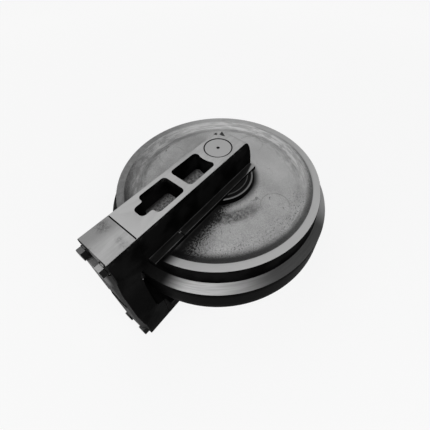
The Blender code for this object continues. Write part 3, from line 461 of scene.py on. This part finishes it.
def build_bolts(painted, worn):
    for level in ("upper", "lower"):
        for edge in ("near", "far"):
            bolt_node, washer_node = f"yoke_bolt_{level}_{edge}", f"washer_{level}_{edge}"
            faces = sort_faces(bolt_mesh(*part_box(bolt_node)), bolt_slot)
            bolt = riding_object(f"hex_bolt_{level}_{edge}", faces, "frame", painted, worn)
            round_edges(bolt, BOLT_EDGE)
            stand_in(bolt, bolt_node)
            faces = sort_faces(copy_of_node(washer_node), bolt_slot)
            washer = riding_object(f"plain_washer_{level}_{edge}", faces, "frame", painted,
                                   worn)
            round_edges(washer, WASHER_EDGE, segments=1)
            stand_in(washer, washer_node)


def grey(tone):
    """A plain tone as a colour; a socket stays as it is."""
    return tone if isinstance(tone, bpy.types.NodeSocket) else (tone, tone, tone, 1)


class Graph:
    """Short ways to add nodes to the node tree of a material or a world."""

    def __init__(self, owner):
        owner.use_nodes = True
        self.tree = owner.node_tree

    def add(self, kind, inputs=None, **settings):
        """Add a node; an input is a value or a socket to link."""
        node = self.tree.nodes.new(kind)
        for key, value in settings.items():
            setattr(node, key, value)
        for key, value in (inputs or {}).items():
            if isinstance(value, bpy.types.NodeSocket):
                self.tree.links.new(value, node.inputs[key])
            else:
                node.inputs[key].default_value = value
        return node

    def maths(self, operation, first, *others):
        """Carry an operation on from the first value through each of the others."""
        for other in others or (0.0,):
            first = self.add("ShaderNodeMath", {0: first, 1: other},
                             operation=operation).outputs[0]
        return first

    def seen(self):
        """1 for rays from the camera and from reflections, 0 for all other rays."""
        rays = self.add("ShaderNodeLightPath").outputs
        return self.maths("MAXIMUM", rays["Is Camera Ray"], rays["Is Glossy Ray"],
                          rays["Is Transmission Ray"])


class Finish(Graph):
    """A Principled material, built up from patterns in the idler's own coordinates."""

    def __init__(self, name, roughness, metallic=0.0, specular=0.5):
        self.material = bpy.data.materials.new(name)
        super().__init__(self.material)
        self.shader = self.tree.nodes["Principled BSDF"]
        self.shader.inputs["Roughness"].default_value = roughness
        self.shader.inputs["Metallic"].default_value = metallic
        self.shader.inputs["Specular IOR Level"].default_value = specular
        coordinates = self.add("ShaderNodeTexCoord").outputs["Object"]
        self.point = self.add("ShaderNodeVectorMath", {0: coordinates, 1: tuple(CENTRE)},
                              operation="SUBTRACT").outputs[0]
        self.x, self.y, self.z = self.add("ShaderNodeSeparateXYZ", {0: self.point}).outputs
        self.height = self.maths("ABSOLUTE", self.z)
        self.radius = self.maths("SQRT", self.maths("ADD", self.maths("MULTIPLY", self.x, self.x),
                                                    self.maths("MULTIPLY", self.y, self.y)))

    def rise(self, value, low, high, start=0.0, end=1.0):
        """Go smoothly from start to end as value goes from low to high."""
        return self.add("ShaderNodeMapRange", {
            "Value": value, "From Min": low, "From Max": high, "To Min": start, "To Max": end},
            interpolation_type="SMOOTHSTEP").outputs[0]

    def band(self, value, low, high, soft):
        """1 between low and high, 0 outside, with soft ends."""
        return self.maths("MULTIPLY", self.rise(value, low - soft, low + soft),
                          self.rise(value, high - soft, high + soft, 1.0, 0.0))

    def grain(self, wavelength, detail=4.0, roughness=0.55, distortion=0.0, stretch=(1, 1, 1)):
        """Cloudy noise from 0 to 1 whose main features are a wavelength apart."""
        point = self.add("ShaderNodeMapping", {"Vector": self.point, "Scale": stretch})
        return self.add("ShaderNodeTexNoise", {
            "Vector": point.outputs[0], "Scale": 1 / wavelength, "Detail": detail,
            "Roughness": roughness, "Distortion": distortion}).outputs[0]

    def turned_grain(self, across, along, detail=3.0):
        """Noise drawn out round the spin axis, as a turning tool or rolling chain leaves it."""
        angle = self.maths("ARCTAN2", self.y, self.x)
        place = self.add("ShaderNodeCombineXYZ", {
            0: self.maths("MULTIPLY", self.radius, 1 / across),
            1: self.maths("MULTIPLY", angle, 0.25 / along),
            2: self.maths("MULTIPLY", self.height, 1 / across)}).outputs[0]
        return self.add("ShaderNodeTexNoise", {
            "Vector": place, "Scale": 1.0, "Detail": detail}).outputs[0]

    def distance(self, place):
        """Distance from a place whose origin is the wheel's middle."""
        return self.add("ShaderNodeVectorMath", {0: self.point, 1: place},
                        operation="DISTANCE").outputs["Value"]

    def along(self, x, y):
        """How far a point lies from the spin axis in a direction of length 1."""
        return self.add("ShaderNodeVectorMath", {0: self.point, 1: (x, y, 0)},
                        operation="DOT_PRODUCT").outputs["Value"]

    def facing(self, x, y):
        """1 on the side of the spin axis that lies in a direction, -1 on the opposite side."""
        length = math.hypot(x, y)
        return self.maths("DIVIDE", self.along(x / length, y / length), self.radius)

    def inside(self, corners, soft):
        """1 inside a convex outline in X and Y whose corners run anticlockwise, 0 outside."""
        beyond = -1.0
        for start, end in zip(corners, corners[1:] + corners[:1]):
            run = (Vector(end) - Vector(start)).normalized()
            edge = run.y * start[0] - run.x * start[1]
            past = self.maths("SUBTRACT", self.along(run.y, -run.x), edge)
            beyond = self.maths("MAXIMUM", beyond, past)
        return self.rise(beyond, -soft, soft, 1.0, 0.0)

    def patch(self, radii, soft, direction, cosines, share):
        """A soft mark between two radii that fades in towards one side."""
        return self.maths("MULTIPLY", self.band(self.radius, *radii, soft),
                          self.rise(self.facing(*direction), *cosines, 0.0, share))

    def blend(self, factor, first, second):
        """Mix two colours, of which each is a socket or a plain tone of grey."""
        node = self.add("ShaderNodeMix", data_type="RGBA")
        values = {"Factor_Float": factor, "A_Color": grey(first), "B_Color": grey(second)}
        for socket in node.inputs:
            value = values.get(socket.identifier)
            if isinstance(value, bpy.types.NodeSocket):
                self.tree.links.new(value, socket)
            elif value is not None:
                socket.default_value = value
        return next(o for o in node.outputs if o.identifier == "Result_Color")

    def coat(self, surface, layers):
        """Lay tones over a surface, each with its share, from the lowest up."""
        for share, tone in layers:
            surface = self.blend(share, surface, tone)
        return surface

    def colour(self, socket):
        self.tree.links.new(socket, self.shader.inputs["Base Color"])

    def bump(self, height, depth, strength=1.0):
        bump = self.add("ShaderNodeBump", {
            "Height": height, "Distance": depth, "Strength": strength})
        self.tree.links.new(bump.outputs[0], self.shader.inputs["Normal"])


class WheelFinish(Finish):
    """Sand-cast webs with traces of soot and black paint, painted shade in the valley, round the
    collar and under the arm's ledge, and painted highlights, turned rims, and the worn
    shoulders of the guide flange with painted shade to the right."""

    def __init__(self):
        super().__init__("wheel_cast_and_turned", 0.65, specular=0.08)
        self.sand = self.grain(0.0022, 4, 0.75)
        self.scale = self.grain(0.012, 5, 0.7)
        self.fine = self.grain(0.0042, 3, 0.7)
        self.rolled = self.turned_grain(0.0020, 0.05)
        self.near = self.facing(*TOWARDS_CAMERA)
        web = self.coat(self.blend(self.rise(self.grain(0.060, 4, 0.55), 0.35, 0.65), 0.42, 0.52),
                        self.web_layers())
        on_shoulder = self.rise(self.radius, TREAD_RADIUS, TREAD_RADIUS + 0.0005)
        self.colour(self.coat(web, (
            (self.rise(self.radius, RIM_FROM, RIM_TO), self.rim()),
            # painted shade at the rim's inner edge
            (self.patch(*EDGE_SHADE), SOOT_AND_SHADE),
            (on_shoulder, self.shoulder()))))
        cast = self.rise(self.radius, 0.2305, 0.2325, 1.0, 0.06)
        self.bump(self.maths("MULTIPLY", self.maths("ADD", self.sand, self.scale), cast), 0.0009)

    def web_layers(self):
        """Share and tone of each layer on the web, from the lowest up."""
        yield self.rise(self.sand, 0.35, 0.72, 0.35, 0.0), SOOT_AND_SHADE
        yield self.specks(), SOOT_AND_SHADE
        yield self.creases(), CREASE
        yield self.rise(self.facing(*PAST_THE_NOSE), 0.3, 1.0, 0.0, 0.5), 0.60
        yield self.maths("MULTIPLY", self.patch(*HOLLOW_DARKENING),
                         self.rise(self.scale, 0.38, 0.60, 0.45, 1.0)), 0.06
        # painted highlight on the valley's outer slope
        yield self.patch(*VALLEY_HIGHLIGHT), 0.62
        yield self.dirt(), SOOT_AND_SHADE
        yield self.shade_beside_recess(), SOOT_AND_SHADE
        # painted highlight on the collar
        yield self.maths("MULTIPLY", self.patch(*COLLAR_HIGHLIGHT),
                         self.rise(self.scale, 0.40, 0.58, 0.0, 0.25)), 0.52
        yield self.caulking(), self.blend(self.scale, 0.10, 0.70)
        yield self.mottle(), SOOT_AND_SHADE
        yield self.maths("MULTIPLY", self.rise(self.radius, 0.196, 0.204),
                         self.rise(self.rolled, 0.50, 0.66, 0.0, 0.5)), 0.20
        yield self.valley_shade(), SOOT_AND_SHADE
        yield self.overspray_and_shade_by_ledge(), PAINT_AND_SHADOW

    def specks(self):
        """Fine dark pits, far out on the web and beside the arm."""
        outer = self.rise(self.radius, 0.160, 0.208, 0.10, 1.0)
        by_the_arm = self.rise(self.y, -0.125, -0.065, 0.10, 1.0)
        return self.maths("MULTIPLY", self.rise(self.fine, 0.54, 0.64),
                          self.maths("MAXIMUM", outer, by_the_arm),
                          self.rise(self.near, -0.1, 0.5, 0.10, 0.65))

    def creases(self):
        """A few thin winding laps in the casting's skin."""
        waves = self.maths("SUBTRACT", self.grain(0.050, 3, 0.5, 0.4), 0.5)
        thin = self.rise(self.maths("ABSOLUTE", waves), 0.002, 0.012, 1.0, 0.0)
        few = self.rise(self.grain(0.055, 2, 0.5), 0.55, 0.66, 0.0, 0.75)
        return self.maths("MULTIPLY", thin, few)

    def dirt(self):
        """Dirt on the outer web at the far side, and in the valley beside the yoke."""
        in_valley = self.maths("MULTIPLY", self.rise(self.radius, 0.2050, 0.2180, 0.0, 0.22),
                               self.rise(self.facing(*BESIDE_THE_YOKE), 0.75, 0.95))
        return self.maths("ADD", self.patch(*WEB_DIRT), in_valley)

    def shade_beside_recess(self):
        """Painted shade round the arm's collar, thinner on the far side."""
        around = self.maths("MINIMUM", self.rise(self.near, 0.2, 0.8, 1.0, 0.75),
                            self.rise(self.near, -0.60, -0.30, 0.4, 1.0))
        return self.maths("MULTIPLY", self.rise(self.radius, 0.0880, 0.1060, 0.95, 0.0), around)

    def caulking(self):
        """Rough seam round each core plug."""
        seam = 0.0
        for _, x, y in core_plug_places():
            for side in (1, -1):
                ring = self.band(self.distance((x, y, side * WEB_HEIGHT)),
                                 PLUG_RADIUS - 0.0008, PLUG_RADIUS + 0.0022, 0.0010)
                seam = self.maths("MAXIMUM", seam, ring)
        return self.maths("MULTIPLY", seam, self.rise(self.fine, 0.42, 0.58), 0.6)

    def mottle(self):
        """Dark mottling of the outer web, strongest past the arm's nose and on the far side."""
        spots = self.rise(self.turned_grain(0.0060, 0.03, 5.0), 0.40, 0.58, 0.34, 0.0)
        sides = self.maths("MAXIMUM",
                           self.rise(self.facing(*PAST_THE_NOSE), 0.60, 0.95, 0.25, 1.0),
                           self.rise(self.facing(*FAR_SIDE), 0.30, 0.80, 0.25, 1.0))
        return self.maths("MULTIPLY", spots, sides, self.rise(self.radius, 0.165, 0.200))

    def valley_shade(self):
        """Painted shade in the valley beside the rim, widest on the side towards the camera."""
        start = self.maths("SUBTRACT", 0.2262, self.maths("MULTIPLY", self.near, 0.018))
        past = self.maths("ADD", self.maths("SUBTRACT", self.radius, start),
                          self.rise(self.fine, 0.3, 0.7, 0.0032, -0.0032))
        share = self.maths("ADD", self.rise(self.near, -0.7, -0.1, 0.20, 0.76),
                           self.rise(self.near, 0.6, 1.05, 0.0, 0.19))
        return self.maths("MULTIPLY", self.rise(past, -0.0085, 0.0085), share)

    def overspray_and_shade_by_ledge(self):
        """Black paint blown past the near ledge of the arm, with painted shadow under the ledge,
        wider towards the yoke.
        """
        to_the_yoke = self.maths("MAXIMUM", self.maths("MULTIPLY", self.x, -1.0), 0.0)
        reach = self.maths("ADD", 0.016, self.maths("MULTIPLY", to_the_yoke, 0.24))
        past = self.maths("DIVIDE", self.maths("SUBTRACT", -LEDGE_EDGE_Y, self.y), reach)
        ragged = self.maths("ADD", past, self.rise(self.fine, 0.35, 0.65, 0.0, 0.45))
        return self.maths("MULTIPLY", self.rise(ragged, 0.40, 1.15, 1.0, 0.0),
                          self.rise(self.y, -LEDGE_EDGE_Y, -0.030, 1.0, 0.0),
                          self.rise(self.x, 0.02, 0.07, 1.0, 0.0))

    def rim(self):
        """The turned rim: black overspray and painted shadow beside the near ledge, rusted on the
        far side.
        """
        by_the_ledge = self.maths("MULTIPLY", self.rise(self.y, -0.086, -0.056),
                                  self.rise(self.x, 0.0, 0.05, 1.0, 0.0))
        rust = self.blend(self.rise(self.x, 0.0, 0.20), self.blend(self.scale, 0.10, 0.30),
                          self.blend(self.scale, 0.30, 0.50))
        return self.coat(self.blend(self.turned_grain(0.0012, 0.10), 0.40, 0.45), (
            # black overspray and painted shadow beside the near ledge
            (by_the_ledge, PAINT_AND_SHADOW),
            (self.rise(self.y, -0.03, 0.03), rust)))

    def shoulder(self):
        """The flange's shoulder: rubbed bright by the links, with painted shade to the right of
        the middle that lightens again at the far right, and black overspray and painted shadow
        beside the arm and beyond it."""
        right = self.facing(*TO_THE_RIGHT)
        return self.coat(self.blend(self.rise(self.rolled, 0.35, 0.65), 0.48, 0.60), (
            # painted shade to the right of the middle
            (self.rise(right, -0.12, 0.50), self.blend(self.rolled, 0.045, 0.075)),
            (self.rise(right, 0.90, 1.01), 0.36),
            # black overspray and painted shadow beside the arm
            (self.rise(self.y, -0.120, -0.058), PAINT_AND_SHADOW)))


def black_paint():
    """Thin black paint, with specks where it is chipped along the outer edges of the arms."""
    made = Finish("black_paint_thin", 0.45, specular=0.004)
    clouds = made.rise(made.grain(0.05, 3, 0.5), 0.40, 0.62)
    chips = made.maths("MULTIPLY", made.rise(made.height, 0.168, 0.1845),
                       made.rise(made.grain(0.006, 4, 0.7), 0.50, 0.62),
                       made.rise(made.grain(0.05, 2, 0.5), 0.40, 0.60))
    made.colour(made.coat(made.blend(clouds, 0.0012, 0.0055), (
        # darker about the middle height
        (made.band(made.z, -0.07, 0.04, 0.03), 0.0014),
        (chips, CHIPPED))))
    made.bump(made.grain(0.0035, 3, 0.6), 0.0004, 0.6)
    return made.material


def bare_finish(name, tone, marks_of):
    """A dull bare face with light rubbing marks, under the marks that a function yields."""
    made = Finish(name, 0.55, specular=0.25)
    clouds = made.grain(0.045, 4, 0.6)
    rubbed = made.grain(0.010, 4, 0.6, stretch=(0.2, 2.0, 1.0))
    bare = made.blend(made.rise(made.maths("ADD", clouds, rubbed), 0.8, 1.2),
                      tone * 0.90, tone * 1.08)
    made.colour(made.coat(bare, marks_of(made, tone, clouds)))
    made.bump(made.grain(0.0035, 3, 0.6), 0.0003, 0.4)
    return made.material


def smudges(made):
    return made.rise(made.grain(0.022, 6, 0.75, 0.6), 0.64, 0.74, 0.0, 0.7)


def arm_marks(made, tone, _):
    """Lighter towards the yoke, rough pocket floors with painted shade on their far half, a
    painted shadow line round the shaft, and the dark marks."""
    yield made.rise(made.x, -0.20, -0.06, 0.8, 0.0), tone * 1.22
    yield smudges(made), tone * 0.5
    rough = made.rise(made.grain(0.006, 5, 0.75), 0.35, 0.65)
    # the far half of each pocket floor is painted shade
    floor = made.blend(made.rise(made.y, 0.008, 0.030),
                       made.blend(rough, ARM_FLOOR_TONE * 0.15, ARM_FLOOR_TONE), SHADED)
    yield made.rise(made.height, 0.145, 0.150, 1.0, 0.0), floor
    # painted shadow line in the gap round the shaft
    yield made.maths("MULTIPLY", made.rise(made.height, 0.145, 0.150),
                     made.band(made.radius, SHAFT_END_RADIUS - 0.0012,
                               SHAFT_END_RADIUS + 0.0015, 0.0003)), SHADED
    for dent in DARK_MARKS:
        yield made.inside(dent, 0.0008), MARK_TONE


def yoke_marks(made, tone, clouds):
    """Painted shade on the far side, with stains."""
    uneven = made.maths("ADD", made.y, made.maths("MULTIPLY", clouds, 0.03))
    # painted shade on the far side
    yield made.rise(uneven, 0.005, 0.035), tone * 0.62
    speckle = made.rise(made.grain(0.0070, 5, 0.8, 1.5), 0.45, 0.56, 0.05, 1.0)
    for x, y, reach, share in STAINS:
        spread = made.rise(made.distance((x, y, HALF_WIDTH)), reach * 0.2, reach, share, 0.0)
        yield made.maths("MULTIPLY", speckle, spread), STAINED
    yield smudges(made), tone * 0.5


def collar_finish():
    """Top of the arm's collar: bright turned rings, with painted shadow in the grooves between
    them.
    """
    made = Finish("collar_turned_rings", 0.5, specular=0.02)
    outer = made.band(made.radius, 0.0798, 0.0836, 0.0008)
    inner = made.maths("MULTIPLY", made.band(made.radius, 0.0698, 0.0716, 0.0006), 0.45)
    tone = made.blend(made.grain(0.006, 4, 0.7), 0.14, 0.26)
    made.colour(made.blend(made.maths("MAXIMUM", outer, inner), SHADOW_LINE, tone))
    return made.material


def worn_end_finish():
    """The yoke's end: thin paint with painted shade towards the bottom, worn through between the
    upper bolts.
    """
    made = Finish("yoke_end_worn_paint", 0.6, specular=0.08)
    rough = made.grain(0.007, 5, 0.7)
    painted = made.blend(made.rise(rough, 0.3, 0.7), 0.008, 0.016)
    on_pad = made.maths("MULTIPLY", made.band(made.y, -0.030, 0.026, 0.003),
                        made.rise(made.z, 0.152, 0.156, 1.0, 0.0))
    between_bolts = made.maths("MAXIMUM", on_pad, made.band(made.y, -0.024, 0.004, 0.003))
    worn = made.blend(between_bolts, 0.004, made.blend(rough, 0.110, 0.190))
    made.colour(made.coat(painted, (
        # painted shade towards the bottom
        (made.rise(made.z, -0.16, 0.05, 1.0, 0.0), SHADED),
        (made.rise(made.z, 0.095, 0.120), worn))))
    made.bump(made.grain(0.0035, 3, 0.6), 0.0005, 0.7)
    return made.material


def strip_finish():
    """Top of a guide strip: thin paint, bright lines along its edges that are partly worn edges
    and partly painted highlights, a painted patch of light with a slanted edge at the free end,
    and bright spots.
    """
    made = Finish("strip_top_paint", 0.5, specular=0.10)
    side = made.maths("ABSOLUTE", made.y)
    worn = made.rise(made.grain(0.02, 5, 0.7, stretch=(0.3, 2.0, 1.0)), 0.35, 0.70)
    inner = made.maths("MULTIPLY", made.band(side, 0.0408, 0.0424, 0.0003), 0.55)
    lines = made.maths("MAXIMUM", inner, made.band(side, 0.0578, 0.0592, 0.0003))
    slant = made.maths("MULTIPLY", made.maths("SUBTRACT", 0.0595, side), 3.3)
    layers = [
        (made.maths("MULTIPLY", lines, made.rise(worn, 0, 1, 0.3, 0.8)), 0.16),
        # painted patch of light at the free end
        (made.rise(made.maths("SUBTRACT", made.x, slant), 0.026, 0.042), 0.36)]
    layers += [(made.rise(made.distance(dot), 0.0018, 0.0030, 1.0, 0.0), 0.30)
               for dot in BRIGHT_SPOTS]
    made.colour(made.coat(made.blend(worn, 0.002, 0.012), layers))
    made.bump(made.grain(0.003, 3, 0.6), 0.0003, 0.5)
    return made.material


def bolt_flat_finish():
    """Upper flat of a bolt's head: a painted highlight, brightest on the upper near bolt, darker
    to the far side and below."""
    made = Finish("bolt_flat_highlight", 0.45, specular=0.1)
    bare = made.blend(made.rise(made.y, -0.015, 0.015), 0.36, 0.12)
    made.colour(made.blend(made.rise(made.z, -0.1, 0.1, 0.9, 0.0), bare, SOOT_AND_SHADE))
    return made.material


def shaft_finish():
    """Ground end face of the shaft, with painted shadow in the gap round its edge and in the
    drilling.
    """
    made = Finish("shaft_end_ground", 0.45, specular=0.25)
    ground = made.blend(made.grain(0.030, 3, 0.5), 0.35, 0.38)
    rim = made.rise(made.radius, SHAFT_END_RADIUS - 0.0018, SHAFT_END_RADIUS - 0.0012)
    drilling = made.rise(made.radius, 0.0034, 0.0046, 1.0, 0.0)
    made.colour(made.blend(made.maths("MAXIMUM", rim, drilling), ground, SHADOW_LINE))
    return made.material


def steel_finish(name, tone, roughness, metallic=0.0, specular=0.5):
    made = Finish(name, roughness, metallic, specular)
    uneven = made.rise(made.grain(0.006, 4, 0.6), 0.3, 0.7)
    made.colour(made.blend(uneven, tone * 0.8, tone * 1.2))
    made.bump(made.grain(0.0015, 3, 0.6), 0.00015, 0.5)
    return made.material


def paint_packed_solids():
    """Materials for the solids that are shown as they were packed."""
    steel = steel_finish("turned_steel", 0.27, 0.4)
    shaft = shaft_finish()
    bronze = steel_finish("bearing_bronze_lining", 0.3, 0.35, 1.0)
    rubber = steel_finish("seal_rubber_black", 0.02, 0.6)
    for name, node in frame["nodes"].items():
        if node.hide_render:
            continue
        if name.startswith("bushing"):
            chosen = bronze
        elif "toric" in name or "o_ring" in name:
            chosen = rubber
        else:
            chosen = shaft if name == "shaft" else steel
        node.data.materials.clear()
        node.data.materials.append(chosen)


def floor_material():
    """Pale and dull, but glowing almost white to the camera and in reflections."""
    material = bpy.data.materials.new("pale_floor")
    graph = Graph(material)
    shader = graph.tree.nodes["Principled BSDF"]
    shader.inputs["Base Color"].default_value = grey(FLOOR_TONE)
    shader.inputs["Roughness"].default_value = FLOOR_ROUGHNESS
    place = graph.add("ShaderNodeTexCoord").outputs["Object"]
    away = graph.add("ShaderNodeVectorMath", {0: place}, operation="LENGTH").outputs["Value"]
    level = graph.add("ShaderNodeMapRange", {
        "Value": away, "From Min": FLOOR_GLOW_FROM, "From Max": FLOOR_GLOW_TO,
        "To Min": FLOOR_GLOW[0], "To Max": FLOOR_GLOW[1]}).outputs[0]
    glow = graph.add("ShaderNodeEmission", {"Strength": level, "Color": grey(1)}).outputs[0]
    share = graph.maths("MULTIPLY", graph.seen(), FLOOR_GLOW_SHARE)
    mix = graph.add("ShaderNodeMixShader", {0: share, 1: shader.outputs[0], 2: glow})
    graph.tree.links.new(mix.outputs[0], graph.tree.nodes["Material Output"].inputs[0])
    return material


def build_floor():
    bm = bmesh.new()
    bmesh.ops.create_circle(bm, cap_ends=True, segments=96, radius=FLOOR_RADIUS)
    floor = mesh_object("studio_floor", bm)
    floor.location.z = CAD_LOW.z - FLOOR_DROP
    floor.data.materials.append(floor_material())


def build_world():
    """A dim surround that looks almost white to the camera and in reflections."""
    world = bpy.data.worlds.new("studio")
    bpy.context.scene.world = world
    graph = Graph(world)
    background = graph.tree.nodes["Background"]
    background.inputs["Color"].default_value = grey(1)
    level = graph.add("ShaderNodeMapRange", {
        "Value": graph.seen(), "To Min": AMBIENT, "To Max": BACKGROUND}).outputs[0]
    graph.tree.links.new(level, background.inputs["Strength"])


def build_lamps():
    for name, direction, distance, size, power in LAMPS:
        data = bpy.data.lights.new(name, "AREA")
        data.shape = "DISK"
        data.size = size
        data.energy = power
        lamp = bpy.data.objects.new(name, data)
        aim = Vector(direction).normalized()
        lamp.location = CENTRE + aim * distance
        lamp.rotation_mode = "QUATERNION"
        lamp.rotation_quaternion = aim.to_track_quat("Z", "Y")
        bpy.context.scene.collection.objects.link(lamp)


def build_camera():
    """The camera that the photograph was taken with, as fitted to points of it."""
    data = bpy.data.cameras.new("photo_camera")
    data.sensor_width = SENSOR_WIDTH
    data.lens = FOCAL_PIXELS * SENSOR_WIDTH / IMAGE_SIZE
    data.shift_x = (IMAGE_SIZE / 2 - CENTRE_PIXEL[0]) / IMAGE_SIZE
    data.shift_y = (CENTRE_PIXEL[1] - IMAGE_SIZE / 2) / IMAGE_SIZE
    data.clip_start = 0.02
    camera = bpy.data.objects.new("photo_camera", data)
    bpy.context.scene.collection.objects.link(camera)
    level_back = Vector((math.sin(CAMERA_AZIMUTH), -math.cos(CAMERA_AZIMUTH), 0))
    back = level_back * math.cos(CAMERA_ELEVATION) + Vector((0, 0, math.sin(CAMERA_ELEVATION)))
    right = Vector((math.cos(CAMERA_AZIMUTH), math.sin(CAMERA_AZIMUTH), 0))
    up = back.cross(right)
    rolled_right = right * math.cos(CAMERA_ROLL) + up * math.sin(CAMERA_ROLL)
    rolled_up = up * math.cos(CAMERA_ROLL) - right * math.sin(CAMERA_ROLL)
    turn = Matrix((rolled_right, rolled_up, back)).transposed().to_4x4()
    camera.matrix_world = Matrix.Translation(CENTRE + CAMERA_FROM_CENTRE) @ turn
    bpy.context.scene.camera = camera


black = black_paint()
wheel_surface = WheelFinish().material
build_wheel(wheel_surface, black)
build_core_plugs(wheel_surface)
build_castings(black, bare_finish("arm_bare_faces", ARM_TONE, arm_marks), collar_finish(),
               bare_finish("yoke_bare_faces", YOKE_TONE, yoke_marks), worn_end_finish())
build_guide_strips(black, strip_finish())
build_bolts(steel_finish("bolt_black_paint", 0.004, 0.4, specular=0.1), bolt_flat_finish())
paint_packed_solids()
build_floor()
build_world()
build_lamps()
build_camera()
bpy.context.scene.view_settings.view_transform = "Standard"
